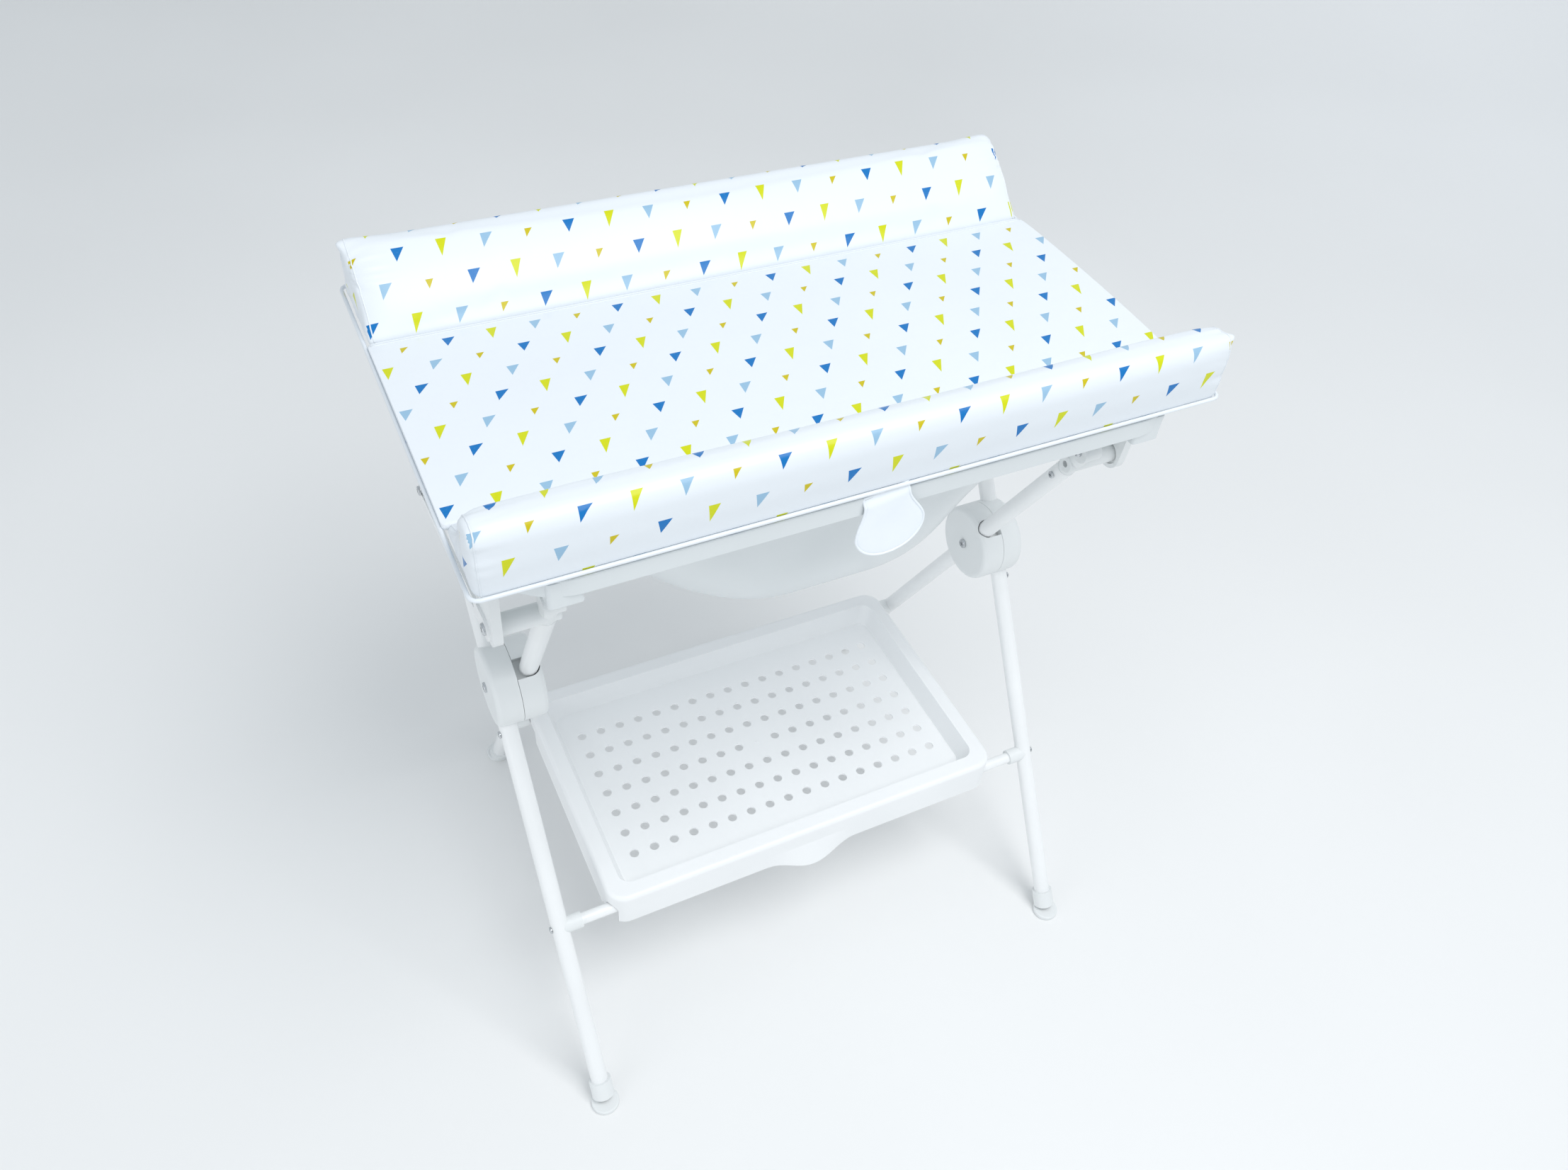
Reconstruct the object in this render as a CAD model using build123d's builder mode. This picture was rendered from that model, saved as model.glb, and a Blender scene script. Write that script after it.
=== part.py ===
from build123d import *
from math import acos, atan2, cos, degrees, radians, sin, sqrt
import os

os.makedirs("parts", exist_ok=True)

# Folding changing table with a bathtub, in millimetres.
# The origin is on the floor under the middle; +X runs along the long side,
# +Y goes from the front (pull tab side) to the back, +Z is up.

# Stand layout seen from the side
foot_spread = 597.0
knuckle_height = 498.0
knuckle_set_back = 21.5
front_pivot_reach = 283.7
slide_pivot_reach = 242.5
crossbar_height = 221.0
fold_angle = 58.0

# Layout along the long side: the pad's half length, and what each piece inside keeps from the next
pad_half_length = 400.0
rim_overhang = 19.5
hanger_inset = 16.5
front_leg_inset = 15.0
rear_leg_inset = 35.0
tray_side_gap = 29.0

# Tubes
leg_r = 11.0
leg_wall = 1.5
leg_start = 9.0
bar_r = 7.5
bar_wall = 1.2
collar_r = 10.5
collar_length = 17.0
collar_socket = 9.0

# Feet
foot_base_r = 18.0
foot_base_height = 7.0
foot_sleeve_r = 14.5
foot_sleeve_start = 12.0
foot_sleeve_end = 36.0
foot_edge_r = 2.0

# Knuckle housings, one pair on each side
knuckle_r = 51.0
knuckle_edge_r = 7.0
knuckle_wall = 2.5
knuckle_gap = 0.5
pocket_gap = 1.6
pocket_depth = 13.0
pivot_bolt_r = 4.0
bolt_head_r = 6.5
bolt_head_height = 3.0
running_gap = 0.06
face_gap = 0.4

# Pivot fittings in the upper tube ends
boss_r = 11.5
boss_edge_r = 2.0
neck_r = 10.5
tube_end_below = 16.0
plug_length = 42.0
pin_r = 4.0

# Lock eyes above the strut fittings, and their pins
eye_rise = 33.0
eye_r = 12.5
eye_depth = 22.0
lock_pin_r = 4.5
lock_pin_reach = 5.0

# Hangers and slide rails under the tub rim
hanger_depth = 10.0
hanger_bottom_r = 19.5
hanger_recess_r = 14.5
hanger_recess_depth = 3.5
front_hanger_top = 56.0
rear_hanger_width = 46.0
rail_depth = 3.0
rail_half = 13.0
slot_half = 4.5
rivet_head_r = 3.0
rivet_head_height = 1.6
rivet_r = 1.6
rivet_inset = 0.6
slide_head_r = 5.6
slide_gap = 0.1
rivet_spacing = 24.0

# Screws
screw_head_r = 4.5
screw_head_height = 2.4
screw_shank_r = 2.0
screw_recess = 1.1
screw_recess_width = 1.2
plug_screw_below = 17.0
leg_screw_below = 62.0
head_round_share = 0.55

# Bathtub
rim_front = -206.5
rim_depth = 496.0
rim_corner_r = 80.0
rim_bottom = 853.0
rim_top = 873.5
tub_wall = 3.0
rim_edge_r = 2.0
basin_y = 20.0
basin_heights = (873.5, 815.0, 757.0, 700.0, 655.0, 628.0, 614.0)
basin_shelf = 50.5
basin_floor_half_length = 90.0
basin_length_shares = (1.0, 41 / 48, 167 / 240, 41 / 80, 7 / 20, 19 / 120, 0.0)
basin_centres = (0.0, -5.0, -7.0, 3.0, 16.0, 21.0, 22.0)
basin_half_depths = (186.0, 172.0, 157.0, 145.0, 125.0, 102.0, 74.0)
basin_corners = (110.0, 128.0, 138.0, 130.0, 113.0, 92.0, 66.0)
lug_inset = 62.5
lug_width = 34.0
lug_depth = 40.0
lug_bottom = 840.0
lug_edge_r = 4.0

# Drain
drain_x = 60.0
drain_bore_r = 17.0
drain_flange_r = 25.0
drain_flange_height = 2.5
drain_spigot_r = 20.0
drain_spigot_length = 26.0
drain_nut_r = 27.0
drain_nut_height = 8.0
drain_nut_sides = 8
plug_taper = 1.5
plug_height = 9.0
plug_lip_r = 20.5
plug_lip_height = 2.5
plug_knob_r = 5.0
plug_knob_height = 12.0
plug_gap = 0.3

# Changing top
pad_front = -206.6
board_bottom = 874.0
board_thickness = 4.0
board_inset = 6.0
board_corner_r = 14.0
soft_gap = 0.3
bed_edge_top = 885.0
bed_crown = 4.0
bed_front = -113.0
bed_back = 176.5
near_top = 956.0
near_ridge = 15.0
near_bulge = 1.5
near_slope_crown = 5.0
near_cap_run_share = 0.55
near_cap_drop_share = 0.12
near_shoulder_share = 0.5
far_top = 955.0
far_top_y = 266.5
far_ridge = 12.0
far_foot_y = 305.0
far_crown = 5.0
far_shoulder_share = 0.33
bed_drop_share = 0.33
end_drop = 9.0
end_length = 24.0
shoulder_drop = 1.5
shoulder_length = 90.0

# Rear hinges
hinge_axis_z = 866.0
hinge_barrel_r = 4.5
hinge_pin_r = 2.0
hinge_spread = 240.0
hinge_width = 60.0
hinge_middle_width = 20.0
hinge_leaf = 1.6
hinge_leaf_bottom = 855.0
hinge_joint_gap = 0.5
hinge_stand_off = 0.3

# Pull tab
tab_x = -4.0
tab_top = 876.0
tab_tilt = 10.0
tab_root_half = 24.0
tab_half_width = 37.0
tab_waist_drop = 14.0
tab_wide_drop = 52.0
tab_drop = 82.0
tab_thickness = 3.0
tab_gap = 0.45

# Tray
tray_wall = 2.5
tray_bar_gap = 4.5
tray_top = 251.0
tray_floor = 222.0
tray_bottom = 197.0
tray_corner_r = 26.0
tray_rim_width = 22.0
tray_draft = 10.0
tray_edge_r = 6.0
tray_basin_corner_r = 16.0
hole_r = 6.2
hole_pitch_x = 28.3
hole_pitch_y = 34.6
hole_columns = 17
hole_rows = 7
sprue_r = 2.0
sprue_height = 0.8
handle_half_width = 66.0
handle_drop = 16.0
handle_reach = 10.0
handle_rise = 24.0
handle_stations = 8
notch_gap = 1.5
notch_depth = 20.0
notch_front_reach = 30.0
fold_relief_reach = 26.0
fold_relief_height = 13.0
clip_spacing = 400.0
clip_width = 16.0
clip_wall = 2.2
clip_gap = 0.3
clip_mouth = 6.0
clip_web = 8.0
rest_half_width = 5.0
cut_over = 2.0

# Places worked out from the sizes; a reach is a distance above the knuckle pivot
rim_half_length = pad_half_length - rim_overhang
hanger_x = rim_half_length - hanger_inset
front_leg_x = hanger_x - front_leg_inset
rear_leg_x = front_leg_x - rear_leg_inset
tray_half_length = rear_leg_x - tray_side_gap
basin_taper = rim_half_length - basin_shelf - basin_floor_half_length
basin_half_lengths = [basin_floor_half_length + basin_taper * share for share in basin_length_shares]
front_angle = atan2(foot_spread / 2 + knuckle_set_back, knuckle_height)
rear_angle = atan2(foot_spread / 2 - knuckle_set_back, knuckle_height)
front_up = Vector(0, sin(front_angle), cos(front_angle))
rear_up = Vector(0, -sin(rear_angle), cos(rear_angle))
pivot = Vector(0, knuckle_set_back, knuckle_height)


def on_front(reach, x=0.0):
    """Point on a front tube's axis, at a reach above the knuckle pivot."""
    return pivot + front_up * reach + Vector(x, 0, 0)


def on_rear(reach, x=0.0):
    """Point on a rear tube's axis, at a reach above the knuckle pivot."""
    return pivot + rear_up * reach + Vector(x, 0, 0)


front_pivot = on_rear(front_pivot_reach)
slide_pivot = on_front(slide_pivot_reach)
front_foot_reach = -knuckle_height / cos(front_angle)
rear_foot_reach = -knuckle_height / cos(rear_angle)
bar_drop = knuckle_height - crossbar_height
front_bar = on_front(-bar_drop / cos(front_angle))
rear_bar = on_rear(-bar_drop / cos(rear_angle))
knuckle_seam = (front_leg_x + rear_leg_x) / 2
knuckle_outer_x = front_leg_x + leg_r + knuckle_wall
knuckle_inner_x = rear_leg_x - leg_r - knuckle_wall
rail_line = slide_pivot - front_pivot
rail_length = rail_line.length
rail_x = hanger_x + hanger_depth
rim_back = rim_front + rim_depth
rim_middle = (rim_front + rim_back) / 2
rim_under = rim_top - tub_wall
hinge_axis_y = rim_back + hinge_barrel_r + hinge_stand_off
board_back = hinge_axis_y + hinge_barrel_r - hinge_leaf
board_top = board_bottom + board_thickness
soft_bottom = board_top + soft_gap
tray_front = front_bar.Y - bar_r - tray_bar_gap - tray_wall
tray_back = rear_bar.Y + bar_r + tray_bar_gap + tray_wall
tray_y = (tray_front + tray_back) / 2
tray_depth = tray_back - tray_front
sides = (("left", -1.0), ("right", 1.0))

# The fold's geometry: the angle at the front pivot between its strut and the slide rail
spread = front_angle + rear_angle
folded_spread = spread - radians(fold_angle)


def pivot_distance(angle):
    """Distance of the two upper pivots when the crossed tubes stand at an angle."""
    return sqrt(front_pivot_reach ** 2 + slide_pivot_reach ** 2
                - 2 * front_pivot_reach * slide_pivot_reach * cos(angle))


def rail_to_strut(angle):
    """Angle between the slide rail and the strut, for the same crossing angle."""
    gap = pivot_distance(angle)
    return acos((front_pivot_reach ** 2 + gap ** 2 - slide_pivot_reach ** 2)
                / (2 * front_pivot_reach * gap))


folded_gap = pivot_distance(folded_spread)
cradle_turn = degrees(rail_to_strut(spread) - rail_to_strut(folded_spread))


def finish(shape, node):
    """Label a finished piece and write it."""
    shape.label = node
    export_step(shape, f"parts/{node}.step")


def outward(x, sign, at):
    """Plane square to X at half distance x, facing away from the middle."""
    return Plane(origin=(sign * x, at.Y, at.Z), x_dir=(0, 1, 0), z_dir=(sign, 0, 0))


def inward(x, sign, at):
    """Plane square to X at half distance x, facing the middle."""
    return Plane(origin=(sign * x, at.Y, at.Z), x_dir=(0, 1, 0), z_dir=(-sign, 0, 0))


def upright(x, sign, at, level=(0, 1, 0)):
    """Plane at half distance x for a side plate, its own x along the given level line."""
    return Plane(origin=(sign * x, at.Y, at.Z), x_dir=level, z_dir=(1, 0, 0))


def along(start, direction):
    """Plane square to a tube, its normal along the tube."""
    return Plane(origin=start, x_dir=(1, 0, 0), z_dir=direction)


def round_bar(plane, radius, length):
    """Plain round solid, used to drill a piece or to cut a cope."""
    with BuildPart() as rod:
        with BuildSketch(plane):
            Circle(radius)
        extrude(amount=length)
    return rod.part


def pan_screw(plane, length, head_r=screw_head_r, head_height=screw_head_height,
              shank_r=screw_shank_r):
    """Pan head screw with a cross recess; the plane lies under its head."""
    with BuildPart() as screw:
        with BuildSketch(plane):
            Circle(head_r)
        extrude(amount=head_height)
        crown = screw.faces().sort_by(Axis(plane.origin, plane.z_dir))[-1]
        fillet(crown.edges(), head_height * head_round_share)
        with BuildSketch(plane.offset(head_height)):
            Rectangle(head_r, screw_recess_width)
            Rectangle(screw_recess_width, head_r)
        extrude(amount=-screw_recess, mode=Mode.SUBTRACT)
        with BuildSketch(plane):
            Circle(shank_r)
        extrude(amount=-length)
    return screw.part


# Screws and pins, made first because they drill the pieces that they hold
eye = on_rear(front_pivot_reach + eye_rise)
eye_start = rear_leg_x - eye_depth / 2
screws = {}
for side, sign in sides:
    screws["lock", side] = pan_screw(inward(eye_start, sign, eye), eye_depth / 2,
                                     head_r=lock_pin_r, head_height=lock_pin_reach)
    screws["bar_front", side] = pan_screw(outward(front_leg_x + leg_r, sign, front_bar),
                                          2 * leg_r + collar_length / 2)
    screws["bar_rear", side] = pan_screw(outward(rear_leg_x + leg_r, sign, rear_bar),
                                         2 * leg_r + collar_length / 2)
    screws["leg", side] = pan_screw(outward(front_leg_x + leg_r, sign,
                                            on_front(-leg_screw_below)), leg_r)
    screws["strut", side] = pan_screw(
        inward(rear_leg_x - leg_r, sign,
               on_rear(front_pivot_reach - tube_end_below - plug_screw_below)), leg_r)
    screws["slide", side] = pan_screw(
        inward(front_leg_x - leg_r, sign,
               on_front(slide_pivot_reach - tube_end_below - plug_screw_below)), leg_r)
    screws["front_pin", side] = pan_screw(
        outward(rail_x + rail_depth, sign, front_pivot),
        rail_x + rail_depth - rear_leg_x + boss_r / 2,
        head_r=bolt_head_r, head_height=bolt_head_height, shank_r=pin_r)
    screws["slide_pin", side] = pan_screw(
        outward(rail_x + rail_depth + slide_gap, sign, slide_pivot),
        rail_depth + hanger_depth + slide_gap, head_r=slide_head_r,
        head_height=bolt_head_height, shank_r=pin_r)

# Pivot bolts through the knuckles, a head at each end
bolt_length = knuckle_outer_x - knuckle_inner_x + face_gap
bolts = {}
for side, sign in sides:
    long_half = pan_screw(outward(knuckle_outer_x, sign, pivot), bolt_length,
                          head_r=bolt_head_r, head_height=bolt_head_height,
                          shank_r=pivot_bolt_r)
    short_half = pan_screw(inward(knuckle_inner_x - face_gap, sign, pivot), bolt_length / 2,
                           head_r=bolt_head_r, head_height=bolt_head_height,
                           shank_r=pivot_bolt_r)
    with BuildPart() as bolt:
        add(long_half)
        add(short_half)
    bolts[side] = bolt.part

with BuildPart() as pivot_bolts:
    for side, sign in sides:
        add(bolts[side])
finish(pivot_bolts.part, "pivot_bolts")

groups = (("front_crossbar_screws", "bar_front"), ("rear_crossbar_screws", "bar_rear"),
          ("knuckle_leg_screws", "leg"), ("strut_fitting_screws", "strut"),
          ("slide_fitting_screws", "slide"), ("front_pivot_pins", "front_pin"),
          ("slide_pins", "slide_pin"), ("lock_pins", "lock"))
for node, key in groups:
    with BuildPart() as group:
        for side, sign in sides:
            add(screws[key, side])
    finish(group.part, node)

# Legs: each tube runs straight through its knuckle to the fitting near the top
front_tube_end = slide_pivot_reach - tube_end_below
rear_tube_end = front_pivot_reach - tube_end_below
cores = {}
for side, sign in sides:
    x = sign * front_leg_x
    start = front_foot_reach + leg_start
    cores["front", side] = round_bar(along(on_front(start, x), front_up), leg_r,
                                     front_tube_end - start)
    bolt_hole = round_bar(inward(knuckle_outer_x, sign, pivot), pivot_bolt_r, bolt_length)
    with BuildPart() as front_leg:
        with BuildSketch(along(on_front(start, x), front_up)):
            Circle(leg_r)
            Circle(leg_r - leg_wall, mode=Mode.SUBTRACT)
        extrude(amount=front_tube_end - start)
        add(bolt_hole, mode=Mode.SUBTRACT)
        for key in ("bar_front", "leg", "slide"):
            add(screws[key, side], mode=Mode.SUBTRACT)
    finish(front_leg.part, f"front_leg_{side}")

    x = sign * rear_leg_x
    start = rear_foot_reach + leg_start
    cores["rear", side] = round_bar(along(on_rear(start, x), rear_up), leg_r,
                                    rear_tube_end - start)
    bolt_hole = round_bar(inward(knuckle_outer_x, sign, pivot), pivot_bolt_r + running_gap,
                          bolt_length)
    with BuildPart() as rear_leg:
        with BuildSketch(along(on_rear(start, x), rear_up)):
            Circle(leg_r)
            Circle(leg_r - leg_wall, mode=Mode.SUBTRACT)
        extrude(amount=rear_tube_end - start)
        add(bolt_hole, mode=Mode.SUBTRACT)
        for key in ("bar_rear", "strut"):
            add(screws[key, side], mode=Mode.SUBTRACT)
    finish(rear_leg.part, f"rear_leg_{side}")

# Knuckle housings: the outer half grips the front tube, the inner half the rear tube
for side, sign in sides:
    with BuildPart() as outer:
        with BuildSketch(outward(knuckle_seam + knuckle_gap / 2, sign, pivot)):
            Circle(knuckle_r)
        extrude(amount=knuckle_outer_x - knuckle_seam - knuckle_gap / 2)
        rim = outer.edges().filter_by(GeomType.CIRCLE).sort_by(Axis.X)[-1 if sign > 0 else 0]
        fillet(rim, knuckle_edge_r)
        add(cores["front", side], mode=Mode.SUBTRACT)
        add(bolts[side], mode=Mode.SUBTRACT)
    finish(outer.part, f"knuckle_outer_{side}")

    bolt_hole = round_bar(inward(knuckle_outer_x, sign, pivot), pivot_bolt_r + running_gap,
                          bolt_length)
    with BuildPart() as inner:
        with BuildSketch(inward(knuckle_seam - knuckle_gap / 2, sign, pivot)):
            Circle(knuckle_r)
        extrude(amount=knuckle_seam - knuckle_gap / 2 - knuckle_inner_x)
        rim = inner.edges().filter_by(GeomType.CIRCLE).sort_by(Axis.X)[0 if sign > 0 else -1]
        fillet(rim, knuckle_edge_r)
        add(cores["rear", side], mode=Mode.SUBTRACT)
        add(bolt_hole, mode=Mode.SUBTRACT)
        with BuildSketch(along(on_rear(knuckle_r - pocket_depth, sign * rear_leg_x), rear_up)):
            Circle(leg_r + pocket_gap)
            with Locations((sign * (knuckle_seam - rear_leg_x) / 2, 0)):
                Rectangle(knuckle_seam - rear_leg_x, 2 * (leg_r + pocket_gap))
        extrude(amount=2 * pocket_depth, mode=Mode.SUBTRACT)
    finish(inner.part, f"knuckle_inner_{side}")

# Feet: a level round base with a sleeve that takes the slanted tube
feet = (("front", front_foot_reach, on_front, front_up, front_leg_x),
        ("rear", rear_foot_reach, on_rear, rear_up, rear_leg_x))
for end, reach, place, up, half_x in feet:
    for side, sign in sides:
        x = sign * half_x
        ground = place(reach, x)
        with BuildPart() as foot:
            with BuildSketch(Plane(origin=ground, x_dir=(1, 0, 0), z_dir=(0, 0, 1))):
                Circle(foot_base_r)
            extrude(amount=foot_base_height)
            fillet(foot.edges().filter_by(GeomType.CIRCLE), foot_edge_r)
            with BuildSketch(along(place(reach + foot_sleeve_start, x), up)):
                Circle(foot_sleeve_r)
            extrude(amount=foot_sleeve_end - foot_sleeve_start)
            add(cores[end, side], mode=Mode.SUBTRACT)
        finish(foot.part, f"foot_{end}_{side}")

# Crossbars, each end held in a collar that is shaped to its leg
bars = (("front", front_bar, front_leg_x), ("rear", rear_bar, rear_leg_x))
for end, at, half_x in bars:
    bar_half = half_x - leg_r - collar_length + collar_socket
    with BuildPart() as crossbar:
        with BuildSketch(Plane(origin=(-bar_half, at.Y, at.Z), x_dir=(0, 1, 0),
                               z_dir=(1, 0, 0))):
            Circle(bar_r)
            Circle(bar_r - bar_wall, mode=Mode.SUBTRACT)
        extrude(amount=2 * bar_half)
    finish(crossbar.part, f"{end}_crossbar")

    with BuildPart() as collars:
        for side, sign in sides:
            start = half_x - leg_r - collar_length
            with BuildSketch(outward(start, sign, at)):
                Circle(collar_r)
            extrude(amount=collar_length + leg_r)
            with BuildSketch(outward(start, sign, at)):
                Circle(bar_r)
            extrude(amount=collar_socket, mode=Mode.SUBTRACT)
            add(cores[end, side], mode=Mode.SUBTRACT)
            add(screws[f"bar_{end}", side], mode=Mode.SUBTRACT)
    finish(collars.part, f"{end}_crossbar_collars")

# Upper end fittings: a plug in the tube and a boss that reaches out to the rail
fittings = (("strut_fitting", on_rear, rear_up, rear_leg_x, rear_tube_end, front_pivot,
             "strut", "rear"),
            ("slide_fitting", on_front, front_up, front_leg_x, front_tube_end, slide_pivot,
             "slide", "front"))
for node, place, up, half_x, tube_end, at, key, end in fittings:
    for side, sign in sides:
        x = sign * half_x
        boss_start = half_x - boss_r
        boss_end = hanger_x + (hanger_recess_depth if key == "strut" else 0)
        pin_hole = round_bar(inward(boss_end, sign, at), pin_r + running_gap,
                             boss_end - boss_start + cut_over)
        with BuildPart() as fitting:
            with BuildSketch(outward(boss_start, sign, at)):
                Circle(boss_r)
            extrude(amount=boss_end - face_gap - boss_start)
            caps = fitting.edges().filter_by(GeomType.CIRCLE).sort_by(Axis.X)
            fillet(caps[0 if sign > 0 else -1], boss_edge_r)
            with BuildSketch(along(place(tube_end, x), up)):
                Circle(neck_r)
            extrude(amount=tube_end_below + (eye_rise if key == "strut" else 0))
            with BuildSketch(along(place(tube_end - plug_length, x), up)):
                Circle(leg_r - leg_wall)
            extrude(amount=plug_length)
            if key == "strut":
                with BuildSketch(outward(eye_start, sign, eye)):
                    Circle(eye_r)
                extrude(amount=eye_depth)
                add(screws["lock", side], mode=Mode.SUBTRACT)
                add(pin_hole, mode=Mode.SUBTRACT)
            add(screws[key, side], mode=Mode.SUBTRACT)
        finish(fitting.part, f"{node}_{side}")

# Hangers: the front pair is a round ended ear, the rear pair stands on the slide rail
rivet_y = rail_half - rivet_head_r - rivet_inset
rivet_middle = rail_length - rear_hanger_width / 2
ear_top = rim_under - front_pivot.Z
hanger_front = upright(0, 1, front_pivot, rail_line).from_local_coords(
    Vector(rail_length - rear_hanger_width, slot_half, 0))
hanger_back = upright(0, 1, front_pivot, rail_line).from_local_coords(
    Vector(rail_length + rail_half / 2, slot_half, 0))
rivets = {}
for side, sign in sides:
    with BuildPart() as hanger:
        with BuildSketch(upright(hanger_x, sign, front_pivot)):
            Circle(hanger_bottom_r)
            with BuildLine():
                Polyline((-hanger_bottom_r, 0), (-front_hanger_top / 2, ear_top),
                         (front_hanger_top / 2, ear_top), (hanger_bottom_r, 0), close=True)
            make_face()
        extrude(amount=sign * hanger_depth)
        with BuildSketch(upright(hanger_x, sign, front_pivot)):
            Circle(hanger_recess_r)
        extrude(amount=sign * hanger_recess_depth, mode=Mode.SUBTRACT)
        add(screws["front_pin", side], mode=Mode.SUBTRACT)
    finish(hanger.part, f"front_hanger_{side}")

    rail_plane = upright(rail_x, sign, front_pivot, rail_line)
    for step in (-1, 1):
        centre = rail_plane.from_local_coords(
            Vector(rivet_middle + step * rivet_spacing / 2, rivet_y, 0))
        rivets[side, step] = pan_screw(outward(rail_x + rail_depth, sign, centre),
                                       rail_depth + hanger_depth / 2, head_r=rivet_head_r,
                                       head_height=rivet_head_height, shank_r=rivet_r)
    with BuildPart() as rail:
        with BuildSketch(rail_plane):
            with Locations((rail_length / 2, 0)):
                SlotCenterToCenter(rail_length, 2 * rail_half)
            with Locations(((folded_gap + rail_length) / 2, 0)):
                SlotCenterToCenter(rail_length - folded_gap, 2 * slot_half,
                                   mode=Mode.SUBTRACT)
        extrude(amount=sign * rail_depth)
        add(screws["front_pin", side], mode=Mode.SUBTRACT)
        for step in (-1, 1):
            add(rivets[side, step], mode=Mode.SUBTRACT)
    finish(rail.part, f"slide_rail_{side}")

    with BuildPart() as hanger:
        with BuildSketch(Plane(origin=(sign * hanger_x, 0, 0), x_dir=(0, 1, 0),
                               z_dir=(1, 0, 0))):
            with BuildLine():
                Polyline((hanger_front.Y, hanger_front.Z), (hanger_back.Y, hanger_back.Z),
                         (hanger_back.Y, rim_under), (hanger_front.Y, rim_under),
                         close=True)
            make_face()
        extrude(amount=sign * hanger_depth)
        for step in (-1, 1):
            add(rivets[side, step], mode=Mode.SUBTRACT)
    finish(hanger.part, f"rear_hanger_{side}")

with BuildPart() as rail_rivets:
    for side, sign in sides:
        for step in (-1, 1):
            add(rivets[side, step])
finish(rail_rivets.part, "rail_rivets")

# Bathtub: a rim with a turned down edge and a basin that is deepest at the right
with BuildPart() as tub:
    with BuildSketch(Plane.XY.offset(rim_bottom)):
        with Locations((0, rim_middle)):
            RectangleRounded(2 * rim_half_length, rim_depth, rim_corner_r)
    extrude(amount=rim_top - rim_bottom)
    fillet(tub.faces().sort_by(Axis.Z)[-1].edges(), rim_edge_r)
    with BuildSketch(Plane.XY.offset(rim_bottom)):
        with Locations((0, rim_middle)):
            RectangleRounded(2 * (rim_half_length - tub_wall), rim_depth - 2 * tub_wall,
                             rim_corner_r - tub_wall)
    extrude(amount=rim_under - rim_bottom, mode=Mode.SUBTRACT)
    for side, sign in sides:
        with BuildSketch(Plane.XY.offset(lug_bottom)):
            with Locations((sign * (rim_half_length - lug_inset),
                            rim_front + tub_wall + lug_depth / 2)):
                RectangleRounded(lug_width, lug_depth, lug_edge_r)
        extrude(amount=rim_under - lug_bottom)
    levels = list(zip(basin_heights, basin_half_lengths, basin_centres, basin_half_depths,
                      basin_corners))
    for height, half_length, centre, half_depth, corner in levels:
        with BuildSketch(Plane.XY.offset(height)):
            with Locations((centre, basin_y)):
                RectangleRounded(2 * half_length, 2 * half_depth, corner)
    loft()
    for height, half_length, centre, half_depth, corner in levels:
        lift = tub_wall if height == basin_heights[-1] else 0
        with BuildSketch(Plane.XY.offset(height + lift)):
            with Locations((centre, basin_y)):
                RectangleRounded(2 * (half_length - tub_wall), 2 * (half_depth - tub_wall),
                                 corner - tub_wall)
    loft(mode=Mode.SUBTRACT)
    with BuildSketch(Plane.XY.offset(basin_heights[-1] - cut_over)):
        with Locations((drain_x, basin_y)):
            Circle(drain_spigot_r)
    extrude(amount=tub_wall + 2 * cut_over, mode=Mode.SUBTRACT)
finish(tub.part, "bathtub")

# Drain fitting, its nut below the tub and the loose plug
tub_floor = basin_heights[-1] + tub_wall
drain_under = basin_heights[-1]
flange_top = tub_floor + drain_flange_height
with BuildPart() as drain:
    with BuildSketch(Plane.XY.offset(tub_floor)):
        with Locations((drain_x, basin_y)):
            Circle(drain_flange_r)
    extrude(amount=drain_flange_height)
    with BuildSketch(Plane.XY.offset(tub_floor)):
        with Locations((drain_x, basin_y)):
            Circle(drain_spigot_r)
    extrude(amount=-drain_spigot_length)
    with BuildSketch(Plane.XY.offset(flange_top)):
        with Locations((drain_x, basin_y)):
            Circle(drain_bore_r)
    extrude(amount=-drain_spigot_length - drain_flange_height, mode=Mode.SUBTRACT)
finish(drain.part, "drain_outlet")

with BuildPart() as nut:
    with BuildSketch(Plane.XY.offset(drain_under)):
        with Locations((drain_x, basin_y)):
            RegularPolygon(drain_nut_r, drain_nut_sides)
            Circle(drain_spigot_r, mode=Mode.SUBTRACT)
    extrude(amount=-drain_nut_height)
finish(nut.part, "drain_nut")

with BuildPart() as plug:
    with BuildSketch(Plane.XY.offset(flange_top)):
        with Locations((drain_x, basin_y)):
            Circle(drain_bore_r - plug_gap)
    with BuildSketch(Plane.XY.offset(flange_top - plug_height)):
        with Locations((drain_x, basin_y)):
            Circle(drain_bore_r - plug_gap - plug_taper)
    loft()
    with BuildSketch(Plane.XY.offset(flange_top)):
        with Locations((drain_x, basin_y)):
            Circle(plug_lip_r)
    extrude(amount=plug_lip_height)
    with BuildSketch(Plane.XY.offset(flange_top + plug_lip_height)):
        with Locations((drain_x, basin_y)):
            Circle(plug_knob_r)
    extrude(amount=plug_knob_height)
    fillet(plug.faces().sort_by(Axis.Z)[-1].edges(), plug_knob_r / 2)
finish(plug.part, "drain_plug")

# Changing top: a thin board under a soft bed between two wedge shaped bolsters
board_front = pad_front + board_inset
with BuildPart() as board:
    with BuildSketch(Plane.XY.offset(board_bottom)):
        with Locations((0, (board_front + board_back) / 2)):
            RectangleRounded(2 * (pad_half_length - board_inset), board_back - board_front,
                             board_corner_r)
    extrude(amount=board_thickness)
finish(board.part, "changer_board")


def stations(half_length):
    """Places along the pad and how far its top drops there, from end to end."""
    inner = half_length - end_length
    middle = half_length - shoulder_length
    return ((-half_length, end_drop), (-inner, shoulder_drop), (-middle, 0), (0, 0),
            (middle, 0), (inner, shoulder_drop), (half_length, end_drop))


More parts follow.
